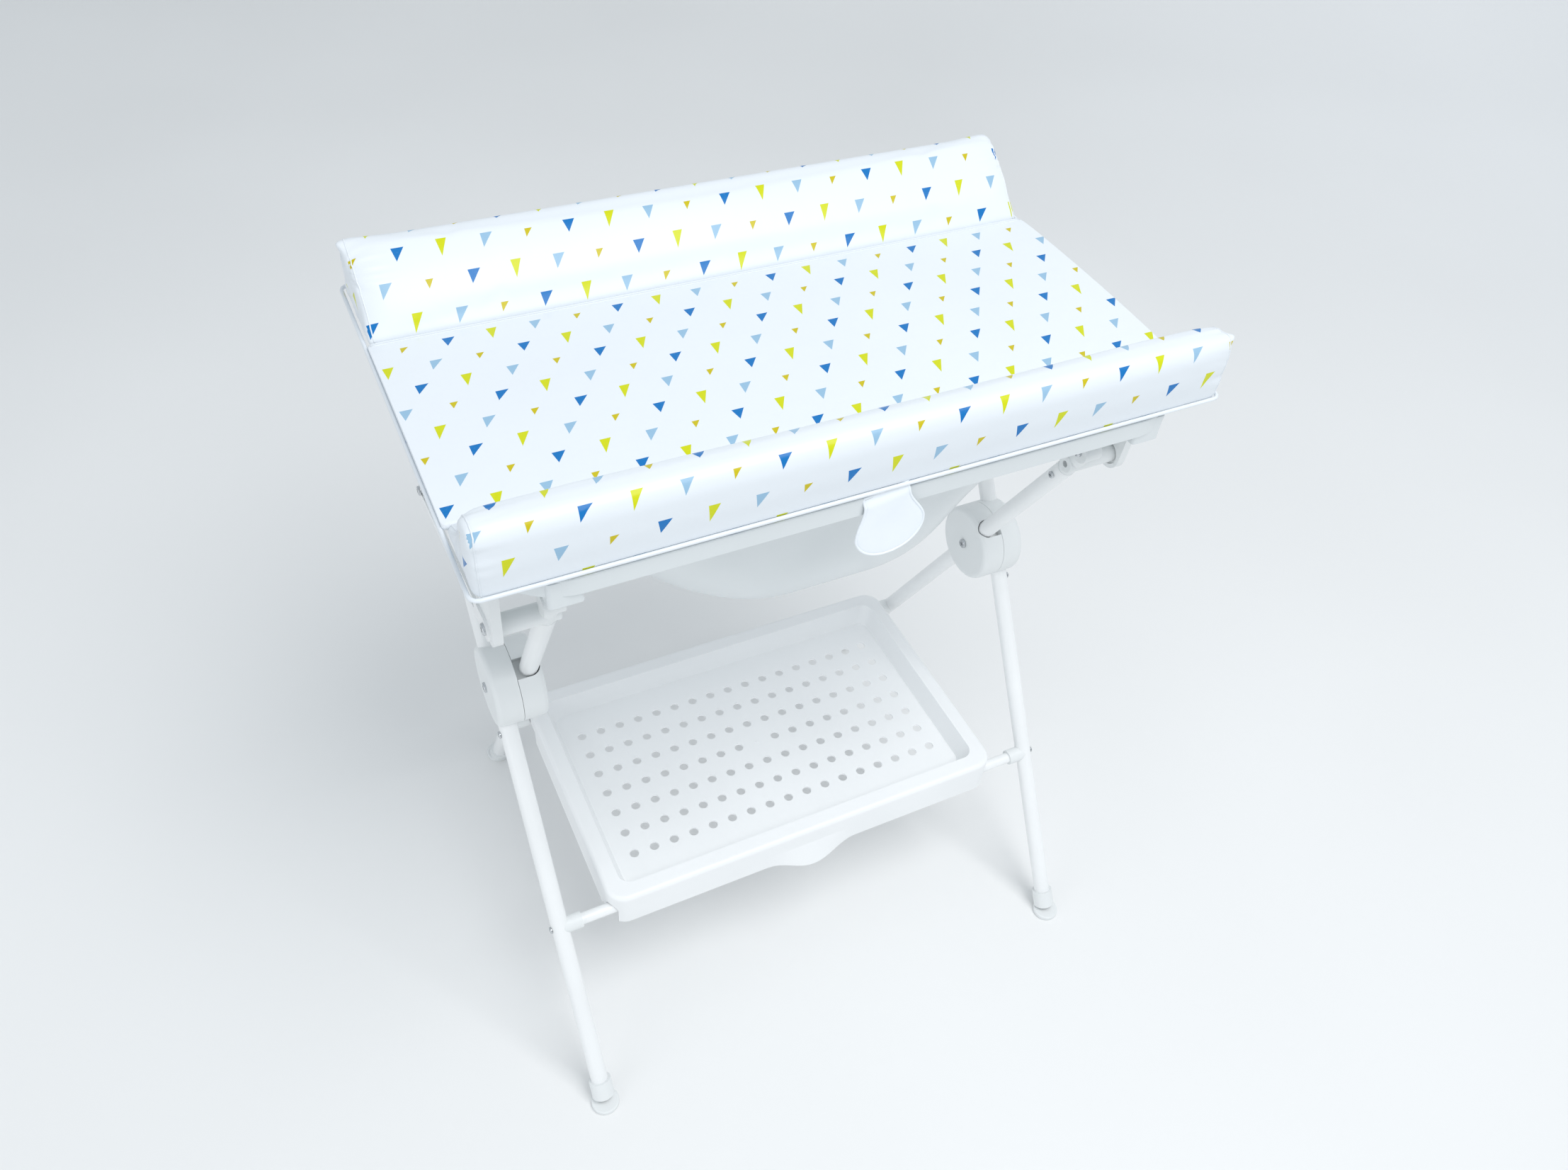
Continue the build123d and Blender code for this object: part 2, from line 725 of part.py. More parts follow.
with BuildPart() as bed_pad:
    for x, drop in stations(pad_half_length):
        with BuildSketch(Plane.YZ.offset(x)):
            with BuildLine():
                edge = bed_edge_top - drop * bed_drop_share
                Polyline((bed_front + soft_gap, edge), (bed_front + soft_gap, soft_bottom),
                         (bed_back - soft_gap, soft_bottom), (bed_back - soft_gap, edge))
                ThreePointArc((bed_back - soft_gap, edge),
                              ((bed_front + bed_back) / 2, edge + bed_crown),
                              (bed_front + soft_gap, edge))
            make_face()
    loft(ruled=True)
finish(bed_pad.part, "bed_pad")

with BuildPart() as near_bolster:
    for x, drop in stations(pad_half_length):
        ridge = near_top - drop
        shoulder = ridge - near_ridge
        with BuildSketch(Plane.YZ.offset(x)):
            with BuildLine():
                face = ThreePointArc((pad_front, soft_bottom),
                                     (pad_front - near_bulge, (soft_bottom + shoulder) / 2),
                                     (pad_front, shoulder))
                cap_middle = (pad_front + near_ridge * near_cap_run_share,
                              ridge - near_ridge * near_cap_drop_share)
                cap = ThreePointArc(face @ 1, cap_middle,
                                    (pad_front + 2 * near_ridge,
                                     ridge - near_ridge * near_shoulder_share))
                slope_y = ((cap @ 1).X + bed_front) / 2
                slope_z = ((cap @ 1).Y + bed_edge_top) / 2 + near_slope_crown
                slope = ThreePointArc(cap @ 1, (slope_y, slope_z),
                                      (bed_front, bed_edge_top))
                Polyline(slope @ 1, (bed_front, soft_bottom), (pad_front, soft_bottom))
            make_face()
    loft(ruled=True)
finish(near_bolster.part, "near_bolster")

with BuildPart() as far_bolster:
    for x, drop in stations(pad_half_length):
        ridge = far_top - drop
        with BuildSketch(Plane.YZ.offset(x)):
            with BuildLine():
                slope = ThreePointArc((bed_back, bed_edge_top),
                                      ((bed_back + far_top_y - far_ridge) / 2,
                                       (bed_edge_top + ridge) / 2 + far_crown),
                                      (far_top_y - far_ridge,
                                       ridge - far_ridge * far_shoulder_share))
                cap = ThreePointArc(slope @ 1, (far_top_y, ridge),
                                    (far_top_y + far_ridge, ridge - far_ridge))
                back = ThreePointArc(cap @ 1, ((far_top_y + far_ridge + far_foot_y) / 2
                                               + far_crown, (ridge + soft_bottom) / 2),
                                     (far_foot_y, soft_bottom))
                Polyline(back @ 1, (bed_back, soft_bottom), (bed_back, bed_edge_top))
            make_face()
    loft(ruled=True)
finish(far_bolster.part, "far_bolster")

# Pull tab, hanging from the front edge of the pad
tab_back = pad_front - tab_gap
with BuildPart() as tab:
    with BuildSketch(Plane(origin=(tab_x, tab_back, tab_top),
                           x_dir=(cos(radians(tab_tilt)), 0, sin(radians(tab_tilt))),
                           z_dir=(0, -1, 0))):
        with BuildLine():
            flank = Spline((tab_root_half, 0), (tab_root_half, -tab_waist_drop),
                           (tab_half_width, -tab_wide_drop), (0, -tab_drop),
                           (-tab_half_width, -tab_wide_drop), (-tab_root_half, -tab_waist_drop),
                           (-tab_root_half, 0), tangents=((0, -1), (0, 1)))
            Line(flank @ 1, flank @ 0)
        make_face()
    extrude(amount=tab_thickness)
finish(tab.part, "pull_tab")

# Rear hinges: the lower leaf on the tub edge, the upper leaf on the board edge
with BuildPart() as lower_leaves:
    for side, sign in sides:
        x = sign * hinge_spread
        with BuildSketch(Plane.XY.offset(hinge_leaf_bottom)):
            with Locations((x, rim_back + hinge_leaf / 2)):
                Rectangle(hinge_width, hinge_leaf)
        extrude(amount=hinge_axis_z - hinge_leaf_bottom)
        with BuildSketch(Plane.YZ.offset(x - hinge_width / 2)):
            with Locations((hinge_axis_y, hinge_axis_z)):
                Circle(hinge_barrel_r)
        extrude(amount=hinge_width)
        with BuildSketch(Plane.YZ.offset(x - hinge_middle_width / 2 - hinge_joint_gap)):
            with Locations((hinge_axis_y, hinge_axis_z)):
                Rectangle(2 * hinge_barrel_r + cut_over, 2 * hinge_barrel_r + cut_over)
        extrude(amount=hinge_middle_width + 2 * hinge_joint_gap, mode=Mode.SUBTRACT)
        with BuildSketch(Plane.YZ.offset(x - hinge_width / 2)):
            with Locations((hinge_axis_y, hinge_axis_z)):
                Circle(hinge_pin_r)
        extrude(amount=hinge_width, mode=Mode.SUBTRACT)
finish(lower_leaves.part, "hinge_lower_leaves")

with BuildPart() as upper_leaves:
    for side, sign in sides:
        x = sign * hinge_spread
        with BuildSketch(Plane.XY.offset(hinge_axis_z)):
            with Locations((x, board_back + hinge_leaf / 2)):
                Rectangle(hinge_middle_width, hinge_leaf)
        extrude(amount=board_top - hinge_axis_z)
        with BuildSketch(Plane.XY.offset(board_bottom)):
            with Locations((x, board_back + hinge_leaf / 2)):
                Rectangle(hinge_width, hinge_leaf)
        extrude(amount=board_thickness)
        with BuildSketch(Plane.YZ.offset(x - hinge_middle_width / 2)):
            with Locations((hinge_axis_y, hinge_axis_z)):
                Circle(hinge_barrel_r)
        extrude(amount=hinge_middle_width)
        with BuildSketch(Plane.YZ.offset(x - hinge_middle_width / 2)):
            with Locations((hinge_axis_y, hinge_axis_z)):
                Circle(hinge_pin_r + running_gap)
        extrude(amount=hinge_middle_width, mode=Mode.SUBTRACT)
finish(upper_leaves.part, "hinge_upper_leaves")

with BuildPart() as hinge_pins:
    for side, sign in sides:
        with BuildSketch(Plane.YZ.offset(sign * hinge_spread - hinge_width / 2)):
            with Locations((hinge_axis_y, hinge_axis_z)):
                Circle(hinge_pin_r)
        extrude(amount=hinge_width)
finish(hinge_pins.part, "hinge_pins")

# Tray: a pierced basin whose rim turns down over both crossbars
opening_length = 2 * (tray_half_length - tray_rim_width)
opening_depth = tray_depth - 2 * tray_rim_width
with BuildPart() as tray:
    with BuildSketch(Plane.XY.offset(tray_bottom)):
        with Locations((0, tray_y)):
            RectangleRounded(2 * tray_half_length, tray_depth, tray_corner_r)
    extrude(amount=tray_top - tray_bottom)
    fillet(tray.faces().sort_by(Axis.Z)[-1].edges(), tray_edge_r)
    with BuildSketch(Plane.XY.offset(tray_bottom)):
        with Locations((0, tray_y)):
            RectangleRounded(2 * (tray_half_length - tray_wall), tray_depth - 2 * tray_wall,
                             tray_corner_r - tray_wall)
    extrude(amount=tray_top - tray_wall - tray_bottom, mode=Mode.SUBTRACT)
    basins = ((0, tray_floor - tray_wall, Mode.ADD), (tray_wall, tray_floor, Mode.SUBTRACT))
    for inset, low, mode in basins:
        for height, draft in ((low, tray_draft), (tray_top, 0)):
            with BuildSketch(Plane.XY.offset(height)):
                with Locations((0, tray_y)):
                    RectangleRounded(opening_length + 2 * (tray_wall - inset - draft),
                                     opening_depth + 2 * (tray_wall - inset - draft),
                                     tray_basin_corner_r)
        loft(mode=mode)
    with BuildSketch(Plane.XY.offset(tray_floor - tray_wall)):
        with Locations((0, tray_y)):
            with GridLocations(hole_pitch_x, hole_pitch_y, hole_columns, hole_rows):
                Circle(hole_r)
            Circle(hole_r, mode=Mode.SUBTRACT)
    extrude(amount=tray_wall, mode=Mode.SUBTRACT)
    with BuildSketch(Plane.XY.offset(tray_floor)):
        with Locations((0, tray_y)):
            Circle(sprue_r)
    extrude(amount=sprue_height)
    grip_top = tray_bottom + handle_rise
    with BuildSketch(Plane.XY.offset(tray_bottom)):
        with Locations((0, tray_front + tray_wall / 2)):
            Rectangle(2 * handle_half_width, tray_wall)
    extrude(amount=handle_rise, mode=Mode.SUBTRACT)
    for station in range(-handle_stations, handle_stations + 1):
        swell = (1 + cos(radians(180 * station / handle_stations))) / 2
        lip_y = tray_front - handle_reach * swell
        lip_z = tray_bottom - handle_drop * swell
        with BuildSketch(Plane.YZ.offset(handle_half_width * station / handle_stations)):
            with BuildLine():
                Polyline((tray_front, grip_top), (lip_y, lip_z), (lip_y + tray_wall, lip_z),
                         (tray_front + tray_wall, grip_top), close=True)
            make_face()
    loft(ruled=True)
    notch_r = bar_r + notch_gap
    for at, front_reach in ((front_bar, notch_r), (rear_bar, notch_front_reach)):
        for side, sign in sides:
            with BuildSketch(outward(tray_half_length + cut_over, sign, at)):
                Circle(notch_r)
            extrude(amount=-notch_depth, mode=Mode.SUBTRACT)
            mouth_x = sign * (tray_half_length + cut_over - notch_depth / 2)
            with BuildSketch(Plane.XY.offset(tray_bottom)):
                with Locations((mouth_x, at.Y + (notch_r - front_reach) / 2)):
                    Rectangle(notch_depth, front_reach + notch_r)
            extrude(amount=at.Z - tray_bottom, mode=Mode.SUBTRACT)
    for side, sign in sides:
        mouth_x = sign * (tray_half_length + cut_over - notch_depth / 2)
        with BuildSketch(Plane.XY.offset(tray_bottom)):
            with Locations((mouth_x, front_bar.Y + fold_relief_reach / 2)):
                Rectangle(notch_depth, fold_relief_reach)
        extrude(amount=fold_relief_height, mode=Mode.SUBTRACT)
finish(tray.part, "tray")

# Clips that snap the tray on the front bar, and rests that sit on the rear bar
tray_under = tray_top - tray_wall
with BuildPart() as clips:
    for side, sign in sides:
        x = sign * clip_spacing / 2 - clip_width / 2
        with BuildSketch(Plane.YZ.offset(x)):
            with Locations((front_bar.Y, front_bar.Z)):
                Circle(bar_r + clip_gap + clip_wall)
            with Locations((front_bar.Y, (front_bar.Z + tray_under) / 2)):
                Rectangle(clip_web, tray_under - front_bar.Z)
            with Locations((front_bar.Y, front_bar.Z)):
                Circle(bar_r + clip_gap, mode=Mode.SUBTRACT)
            with Locations((front_bar.Y, front_bar.Z - bar_r)):
                Rectangle(2 * clip_mouth, 2 * clip_wall + bar_r, mode=Mode.SUBTRACT)
        extrude(amount=clip_width)
finish(clips.part, "tray_clips")

with BuildPart() as rests:
    for side, sign in sides:
        x = sign * clip_spacing / 2 - clip_width / 2
        with BuildSketch(Plane.YZ.offset(x)):
            with Locations((rear_bar.Y, (rear_bar.Z + tray_under) / 2)):
                Rectangle(2 * rest_half_width, tray_under - rear_bar.Z)
            with Locations((rear_bar.Y, rear_bar.Z)):
                Circle(bar_r + clip_gap, mode=Mode.SUBTRACT)
        extrude(amount=clip_width)
finish(rests.part, "tray_rests")

print("knuckle pivot", pivot)
print("front pivot", front_pivot)
print("slide pivot", slide_pivot)
print("front bar", front_bar, "rear bar", rear_bar)
print("hinge axis", hinge_axis_y, hinge_axis_z)
print("cradle turn", cradle_turn, "ratio", cradle_turn / fold_angle)
print("slider travel", rail_length - folded_gap)
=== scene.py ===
"""Looks for a folding changing table with a bathtub.

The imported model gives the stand, the tub and the tray. This script finishes their surfaces and makes the
padded top: a bed, two bolsters, the piped edge, the seams and the pull tab.
"""

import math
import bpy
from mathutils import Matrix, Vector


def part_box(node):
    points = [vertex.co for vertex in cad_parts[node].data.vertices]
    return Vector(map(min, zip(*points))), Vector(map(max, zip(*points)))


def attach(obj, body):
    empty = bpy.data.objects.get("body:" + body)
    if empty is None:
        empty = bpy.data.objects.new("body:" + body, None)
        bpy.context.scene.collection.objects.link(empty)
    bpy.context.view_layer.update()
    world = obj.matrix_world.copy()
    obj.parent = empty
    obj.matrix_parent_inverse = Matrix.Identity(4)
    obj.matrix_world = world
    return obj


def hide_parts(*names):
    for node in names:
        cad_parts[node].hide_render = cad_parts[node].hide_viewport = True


bl_info = {
    "name": "Changing Table With Bathtub",
    "version": (1, 0, 0),
    "blender": (4, 5, 0),
    "location": "View3D > Sidebar > Changing Table",
    "description": "Finishes a folding changing table with a padded, printed top over a bathtub",
    "category": "Object",
}

import bmesh
import bpy
import numpy as np
from mathutils import Euler, Matrix, Vector
from mathutils.bvhtree import BVHTree

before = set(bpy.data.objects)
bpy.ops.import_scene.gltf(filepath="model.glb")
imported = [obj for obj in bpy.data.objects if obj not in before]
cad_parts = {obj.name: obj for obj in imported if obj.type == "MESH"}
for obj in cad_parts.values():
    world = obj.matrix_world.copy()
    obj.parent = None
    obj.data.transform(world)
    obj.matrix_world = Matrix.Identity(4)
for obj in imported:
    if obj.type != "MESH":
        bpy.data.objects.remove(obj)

MM = 0.001
QUARTER_TURN = 0.5 * math.pi
FULL_TURN = 2.0 * math.pi

# Places on the pad, in metres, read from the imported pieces
BED_LOW, BED_HIGH = (np.array(corner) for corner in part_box("bed_pad"))
NEAR_LOW, NEAR_HIGH = (np.array(corner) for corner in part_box("near_bolster"))
FAR_LOW, FAR_HIGH = (np.array(corner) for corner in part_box("far_bolster"))
TAB_LOW, TAB_HIGH = (np.array(corner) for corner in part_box("pull_tab"))
HALF_LENGTH = BED_HIGH[0]
BASE_Z = BED_LOW[2]
EDGE_Z = BASE_Z + 7.0 * MM  # the valleys between the bed and the bolsters

# The pad's own sizes, in metres
BOLSTER_END = HALF_LENGTH - 3.0 * MM
BOLSTER_CORNER = 9.0 * MM  # how round a bolster's ends are, and how far in their seams run
EDGE_CORNER = 9.0 * MM  # how round the corners of the piped edge are
BEAD = 0.8 * MM  # radius of the seams, the welt and the stitches
TAB_BEAD = 1.3 * MM  # radius of the tab's piping

# The mesh of the pad
BED_STEPS = 15  # points over the bed's crown
END_STEPS = 6  # rings round each end of a cushion
SAME_POINT = 1e-7  # a step of an outline shorter than this has no direction
SAME_VERTEX = 1e-6  # vertices nearer than this are merged
NO_MOVE = 1e-9  # the least movement that is divided by
STEEP = 0.9  # a tube that starts steeper than this takes its first normal from y, not z
END_FACING = 0.72  # a face whose normal has more than this along x belongs to an end

# The print
PRINT_MAP = "print"
FIRST_COLUMN = 40.0  # keeps the column numbers above zero
INK_EDGE = 0.35 * MM  # how soft the edge of a printed triangle is
LEAN_LEAST, LEAN_SPREAD = 0.25, 0.3  # how far a triangle's point leans, in widths

# The cover's cloth run
PRESSURE = 4.0
CLOTH_STEPS = 20
STILL_BELOW, FREE_ABOVE = EDGE_Z - 2.0 * MM, EDGE_Z + 30.0 * MM
COVER_ROOM = 5.0 * MM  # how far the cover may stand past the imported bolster

# The colour sockets of the Mix node
MIX_SHARE, MIX_FIRST, MIX_SECOND, MIX_RESULT = 0, 6, 7, 2

MATERIALS = {}


# Mesh helpers

def smoothstep(low, high, value):
    """Zero below low, one above high, and 3t^2 - 2t^3 of the share t between them."""
    t = np.clip((value - low) / (high - low), 0.0, 1.0)
    return t * t * (3.0 - 2.0 * t)


def arc(centre, radius, turn):
    """Points round a centre: its first part plus radius times the cosine, its second plus the sine."""
    return np.stack([centre[0] + radius * np.cos(turn), centre[1] + radius * np.sin(turn)], axis=1)


def grid_faces(rows, columns, wrap=True):
    """Quads between neighbouring rows and columns of a grid; wrap joins the last column to the first."""
    r = np.arange(rows - 1)[:, None]
    c = np.arange(columns if wrap else columns - 1)[None, :]
    across = (c + 1) % columns
    quads = np.stack(np.broadcast_arrays(r * columns + c, r * columns + across,
                                         (r + 1) * columns + across, (r + 1) * columns + c), axis=-1)
    return quads.reshape(-1, 4)


def new_piece(name, points, faces):
    """A smooth shaded mesh object at the origin from an array of points and an array or list of faces."""
    mesh = bpy.data.meshes.new(name)
    mesh.from_pydata(np.asarray(points, dtype=float).tolist(), [],
                     [list(map(int, face)) for face in faces])
    mesh.validate()
    mesh.update()
    mesh.shade_smooth()
    piece = bpy.data.objects.new(name, mesh)
    bpy.context.scene.collection.objects.link(piece)
    return piece


def vertex_array(piece):
    """The piece's vertices as an array of points."""
    flat = np.empty(len(piece.data.vertices) * 3)
    piece.data.vertices.foreach_get("co", flat)
    return flat.reshape(-1, 3)


def set_vertices(piece, points):
    """Writes an array of points back into the piece's vertices."""
    piece.data.vertices.foreach_set("co", np.ascontiguousarray(points).ravel())
    piece.data.update()


def closed_skin(rings):
    """Points and faces of a skin through closed rings, each end shut by a fan to its ring's middle.

    rings has the shape (rows, columns, 3).
    """
    rows, columns, _ = rings.shape
    points = np.concatenate([rings.reshape(-1, 3), rings[:1].mean(axis=1), rings[-1:].mean(axis=1)])
    faces = [tuple(face) for face in grid_faces(rows, columns)]
    first, last = rows * columns, rows * columns + 1
    faces += [((i + 1) % columns, i, first) for i in range(columns)]
    base = (rows - 1) * columns
    faces += [(base + i, base + (i + 1) % columns, last) for i in range(columns)]
    return points, faces


def apply_modifiers(piece):
    """Replaces the piece's mesh by what its modifiers make of it."""
    depsgraph = bpy.context.evaluated_depsgraph_get()
    made = bpy.data.meshes.new_from_object(piece.evaluated_get(depsgraph))
    piece.modifiers.clear()
    old = piece.data
    piece.data = made
    bpy.data.meshes.remove(old)


def outward_faces(piece):
    """Merges a closed piece's doubled vertices and turns every face outwards."""
    mesh = bmesh.new()
    mesh.from_mesh(piece.data)
    bmesh.ops.remove_doubles(mesh, verts=mesh.verts, dist=SAME_VERTEX)
    bmesh.ops.recalc_face_normals(mesh, faces=mesh.faces)
    mesh.to_mesh(piece.data)
    mesh.free()


def resample(points, count, closed=True):
    """The same outline with count points spaced evenly along its length."""
    path = np.vstack([points, points[:1]]) if closed else np.asarray(points)
    steps = np.linalg.norm(np.diff(path, axis=0), axis=1)
    reach = np.concatenate([[0.0], np.cumsum(steps)])
    places = np.linspace(0.0, reach[-1], count, endpoint=not closed)
    return np.stack([np.interp(places, reach, path[:, k]) for k in range(path.shape[1])], axis=1)


def tube(name, path, radius, sides, closed=False):
    """A round tube along a path: at each point a circle square to the path's direction.

    The circle's frame is carried along by taking out of the last normal its part along the path.
    """
    path = np.asarray(path, dtype=float)
    ahead = np.roll(path, -1, axis=0) - np.roll(path, 1, axis=0)
    if not closed:
        ahead[0], ahead[-1] = path[1] - path[0], path[-1] - path[-2]
    ahead /= np.linalg.norm(ahead, axis=1)[:, None]
    normal = np.zeros_like(path)
    start = np.array([0.0, 0.0, 1.0]) if abs(ahead[0, 2]) < STEEP else np.array([0.0, 1.0, 0.0])
    for i, direction in enumerate(ahead):
        start = start - direction * (start @ direction)
        start /= np.linalg.norm(start)
        normal[i] = start
    side = np.cross(ahead, normal)
    angle = np.linspace(0.0, FULL_TURN, sides, endpoint=False)
    rings = (path[:, None, :] + radius * (np.cos(angle)[None, :, None] * normal[:, None, :]
                                          + np.sin(angle)[None, :, None] * side[:, None, :]))
    if closed:
        rings = np.concatenate([rings, rings[:1]])
        piece = new_piece(name, rings.reshape(-1, 3), grid_faces(len(rings), sides))
    else:
        piece = new_piece(name, *closed_skin(rings))
    outward_faces(piece)
    return piece


# Shader helpers

class Value:
    """A shader socket, with the usual operators as Math nodes."""

    def __init__(self, maker, socket):
        self.maker = maker
        self.socket = socket

    def _join(self, operation, *inputs):
        return self.maker.node("ShaderNodeMath", {"operation": operation}, inputs)

    def __add__(self, other):
        return self._join("ADD", self, other)

    __radd__ = __add__

    def __mul__(self, other):
        return self._join("MULTIPLY", self, other)

    __rmul__ = __mul__

    def __sub__(self, other):
        return self._join("SUBTRACT", self, other)

    def __rsub__(self, other):
        return self._join("SUBTRACT", other, self)

    def __truediv__(self, other):
        return self._join("DIVIDE", self, other)

    def __rtruediv__(self, other):
        return self._join("DIVIDE", other, self)

    def __lt__(self, other):
        return self._join("LESS_THAN", self, other)

    def __gt__(self, other):
        return self._join("GREATER_THAN", self, other)

    def __abs__(self):
        return self._join("ABSOLUTE", self)

    def floor(self):
        """The whole part."""
        return self._join("FLOOR", self)

    def fraction(self):
        """What the whole part leaves."""
        return self._join("FRACT", self)

    def remainder(self, other):
        """What is left after taking out whole multiples, never negative."""
        return self._join("FLOORED_MODULO", self, other)

    def ramp(self, low, high):
        """Zero at low, one at high, straight between and level beyond."""
        return self.maker.node("ShaderNodeMapRange", {"clamp": True}, [self, low, high, 0.0, 1.0])


class Finish:
    """Builds one material: a Principled shader and whatever drives it."""

    def __init__(self, name, **settings):
        self.material = bpy.data.materials.new(name)
        self.material.use_nodes = True
        self.tree = self.material.node_tree
        self.shader = self.tree.nodes["Principled BSDF"]
        for socket, value in settings.items():
            self.shader.inputs[socket.replace("_", " ")].default_value = value

    def node(self, kind, settings=None, inputs=(), output=0):
        """Adds a node, sets its options first and then its inputs, and returns one output."""
        made = self.tree.nodes.new(kind)
        for key, value in (settings or {}).items():
            setattr(made, key, value)
        pairs = inputs.items() if isinstance(inputs, dict) else enumerate(inputs)
        for key, value in pairs:
            if isinstance(value, Value):
                self.tree.links.new(value.socket, made.inputs[key])
            else:
                made.inputs[key].default_value = value
        return Value(self, made.outputs[output])

    def mix(self, share, first, second):
        """Blends two colours by a share."""
        inputs = {MIX_SHARE: share, MIX_FIRST: first, MIX_SECOND: second}
        return self.node("ShaderNodeMix", {"data_type": "RGBA"}, inputs, output=MIX_RESULT)

    def axes(self, vector):
        """The x, the y and the z of a vector."""
        split = self.node("ShaderNodeSeparateXYZ", inputs=[vector]).socket.node
        return [Value(self, socket) for socket in split.outputs]

    def place(self):
        """Object coordinates, which are the frame's own metres."""
        return self.node("ShaderNodeTexCoord", output="Object")

    def noise(self, scale, detail, roughness=0.5):
        """Smooth noise between zero and one; scale counts its features in a metre."""
        inputs = {"Vector": self.place(), "Scale": scale, "Detail": detail, "Roughness": roughness}
        return self.node("ShaderNodeTexNoise", inputs=inputs)

    def drive(self, socket, value):
        """Links a value to a socket of the shader."""
        self.tree.links.new(value.socket, self.shader.inputs[socket])

    def clouded(self, cloud, colour, share, low, high):
        """The colour where the cloud is under low, that share of it over high, and between, a blend."""
        return self.mix(cloud.ramp(low, high), rgba(colour), rgba(colour, share))

    def bump(self, height, distance, over=None):
        """A bump of a height map, distance metres high, on top of an earlier one."""
        inputs = {"Distance": distance, "Height": height}
        if over is not None:
            inputs["Normal"] = over
        return self.node("ShaderNodeBump", inputs=inputs)


def rgba(colour, share=1.0):
    """A share of a colour, no part of it over one, with full cover."""
    return (*(min(1.0, part * share) for part in tuple(colour)[:3]), 1.0)


def painted_tube_finish(colour):
    """White powder coat: a faint orange peel and slight clouding of colour and gloss."""
    finish = Finish("powder_coat", Coat_Weight=0.25, Coat_Roughness=0.18)
    cloud = finish.noise(scale=9.0, detail=4.0)
    peel = finish.noise(scale=900.0, detail=2.0)
    finish.drive("Base Color", finish.clouded(cloud, colour, share=0.955, low=0.35, high=0.7))
    finish.drive("Roughness", 0.26 + cloud * 0.14)
    finish.drive("Normal", finish.bump(peel, distance=0.06 * MM))
    return finish.material


def moulded_finish(name, colour, roughness, coat=0.0):
    """Moulded plastic: fine grain, a little sink and slight clouding of the colour."""
    finish = Finish(name, Coat_Weight=coat, Coat_Roughness=0.12)
    cloud = finish.noise(scale=6.0, detail=3.0)
    grain = finish.noise(scale=1400.0, detail=2.0)
    sink = finish.noise(scale=22.0, detail=2.0)
    finish.drive("Base Color", finish.clouded(cloud, colour, share=0.96, low=0.3, high=0.75))
    finish.drive("Roughness", roughness - 0.05 + cloud * 0.1)
    sunk = finish.bump(sink, distance=0.6 * MM)
    finish.drive("Normal", finish.bump(grain, distance=0.05 * MM, over=sunk))
    return finish.material


def metal_finish(name, colour, roughness, scratches):
    """Plated metal: fine turned scratches, so many in a metre, and uneven gloss."""
    finish = Finish(name, Metallic=1.0)
    fine = finish.noise(scale=scratches, detail=4.0, roughness=0.7)
    cloud = finish.noise(scale=160.0, detail=3.0)
    finish.drive("Base Color", finish.clouded(cloud, colour, share=0.8, low=0.4, high=0.8))
    finish.drive("Roughness", roughness + fine * 0.15)
    finish.drive("Normal", finish.bump(fine, distance=0.03 * MM))
    return finish.material


def plain_vinyl_finish(name, colour):
    """Plain vinyl of the piping and the tab, with the same fine grain as the cover."""
    finish = Finish(name, Coat_Weight=0.3, Coat_Roughness=0.25)
    cloud = finish.noise(scale=14.0, detail=3.0)
    grain = finish.noise(scale=1300.0, detail=2.0)
    dents = finish.noise(scale=60.0, detail=2.0)
    finish.drive("Base Color", finish.clouded(cloud, colour, share=0.965, low=0.3, high=0.8))
    finish.drive("Roughness", 0.32 + cloud * 0.1)
    dented = finish.bump(dents, distance=0.4 * MM)
    finish.drive("Normal", finish.bump(grain, distance=0.05 * MM, over=dented))
    return finish.material


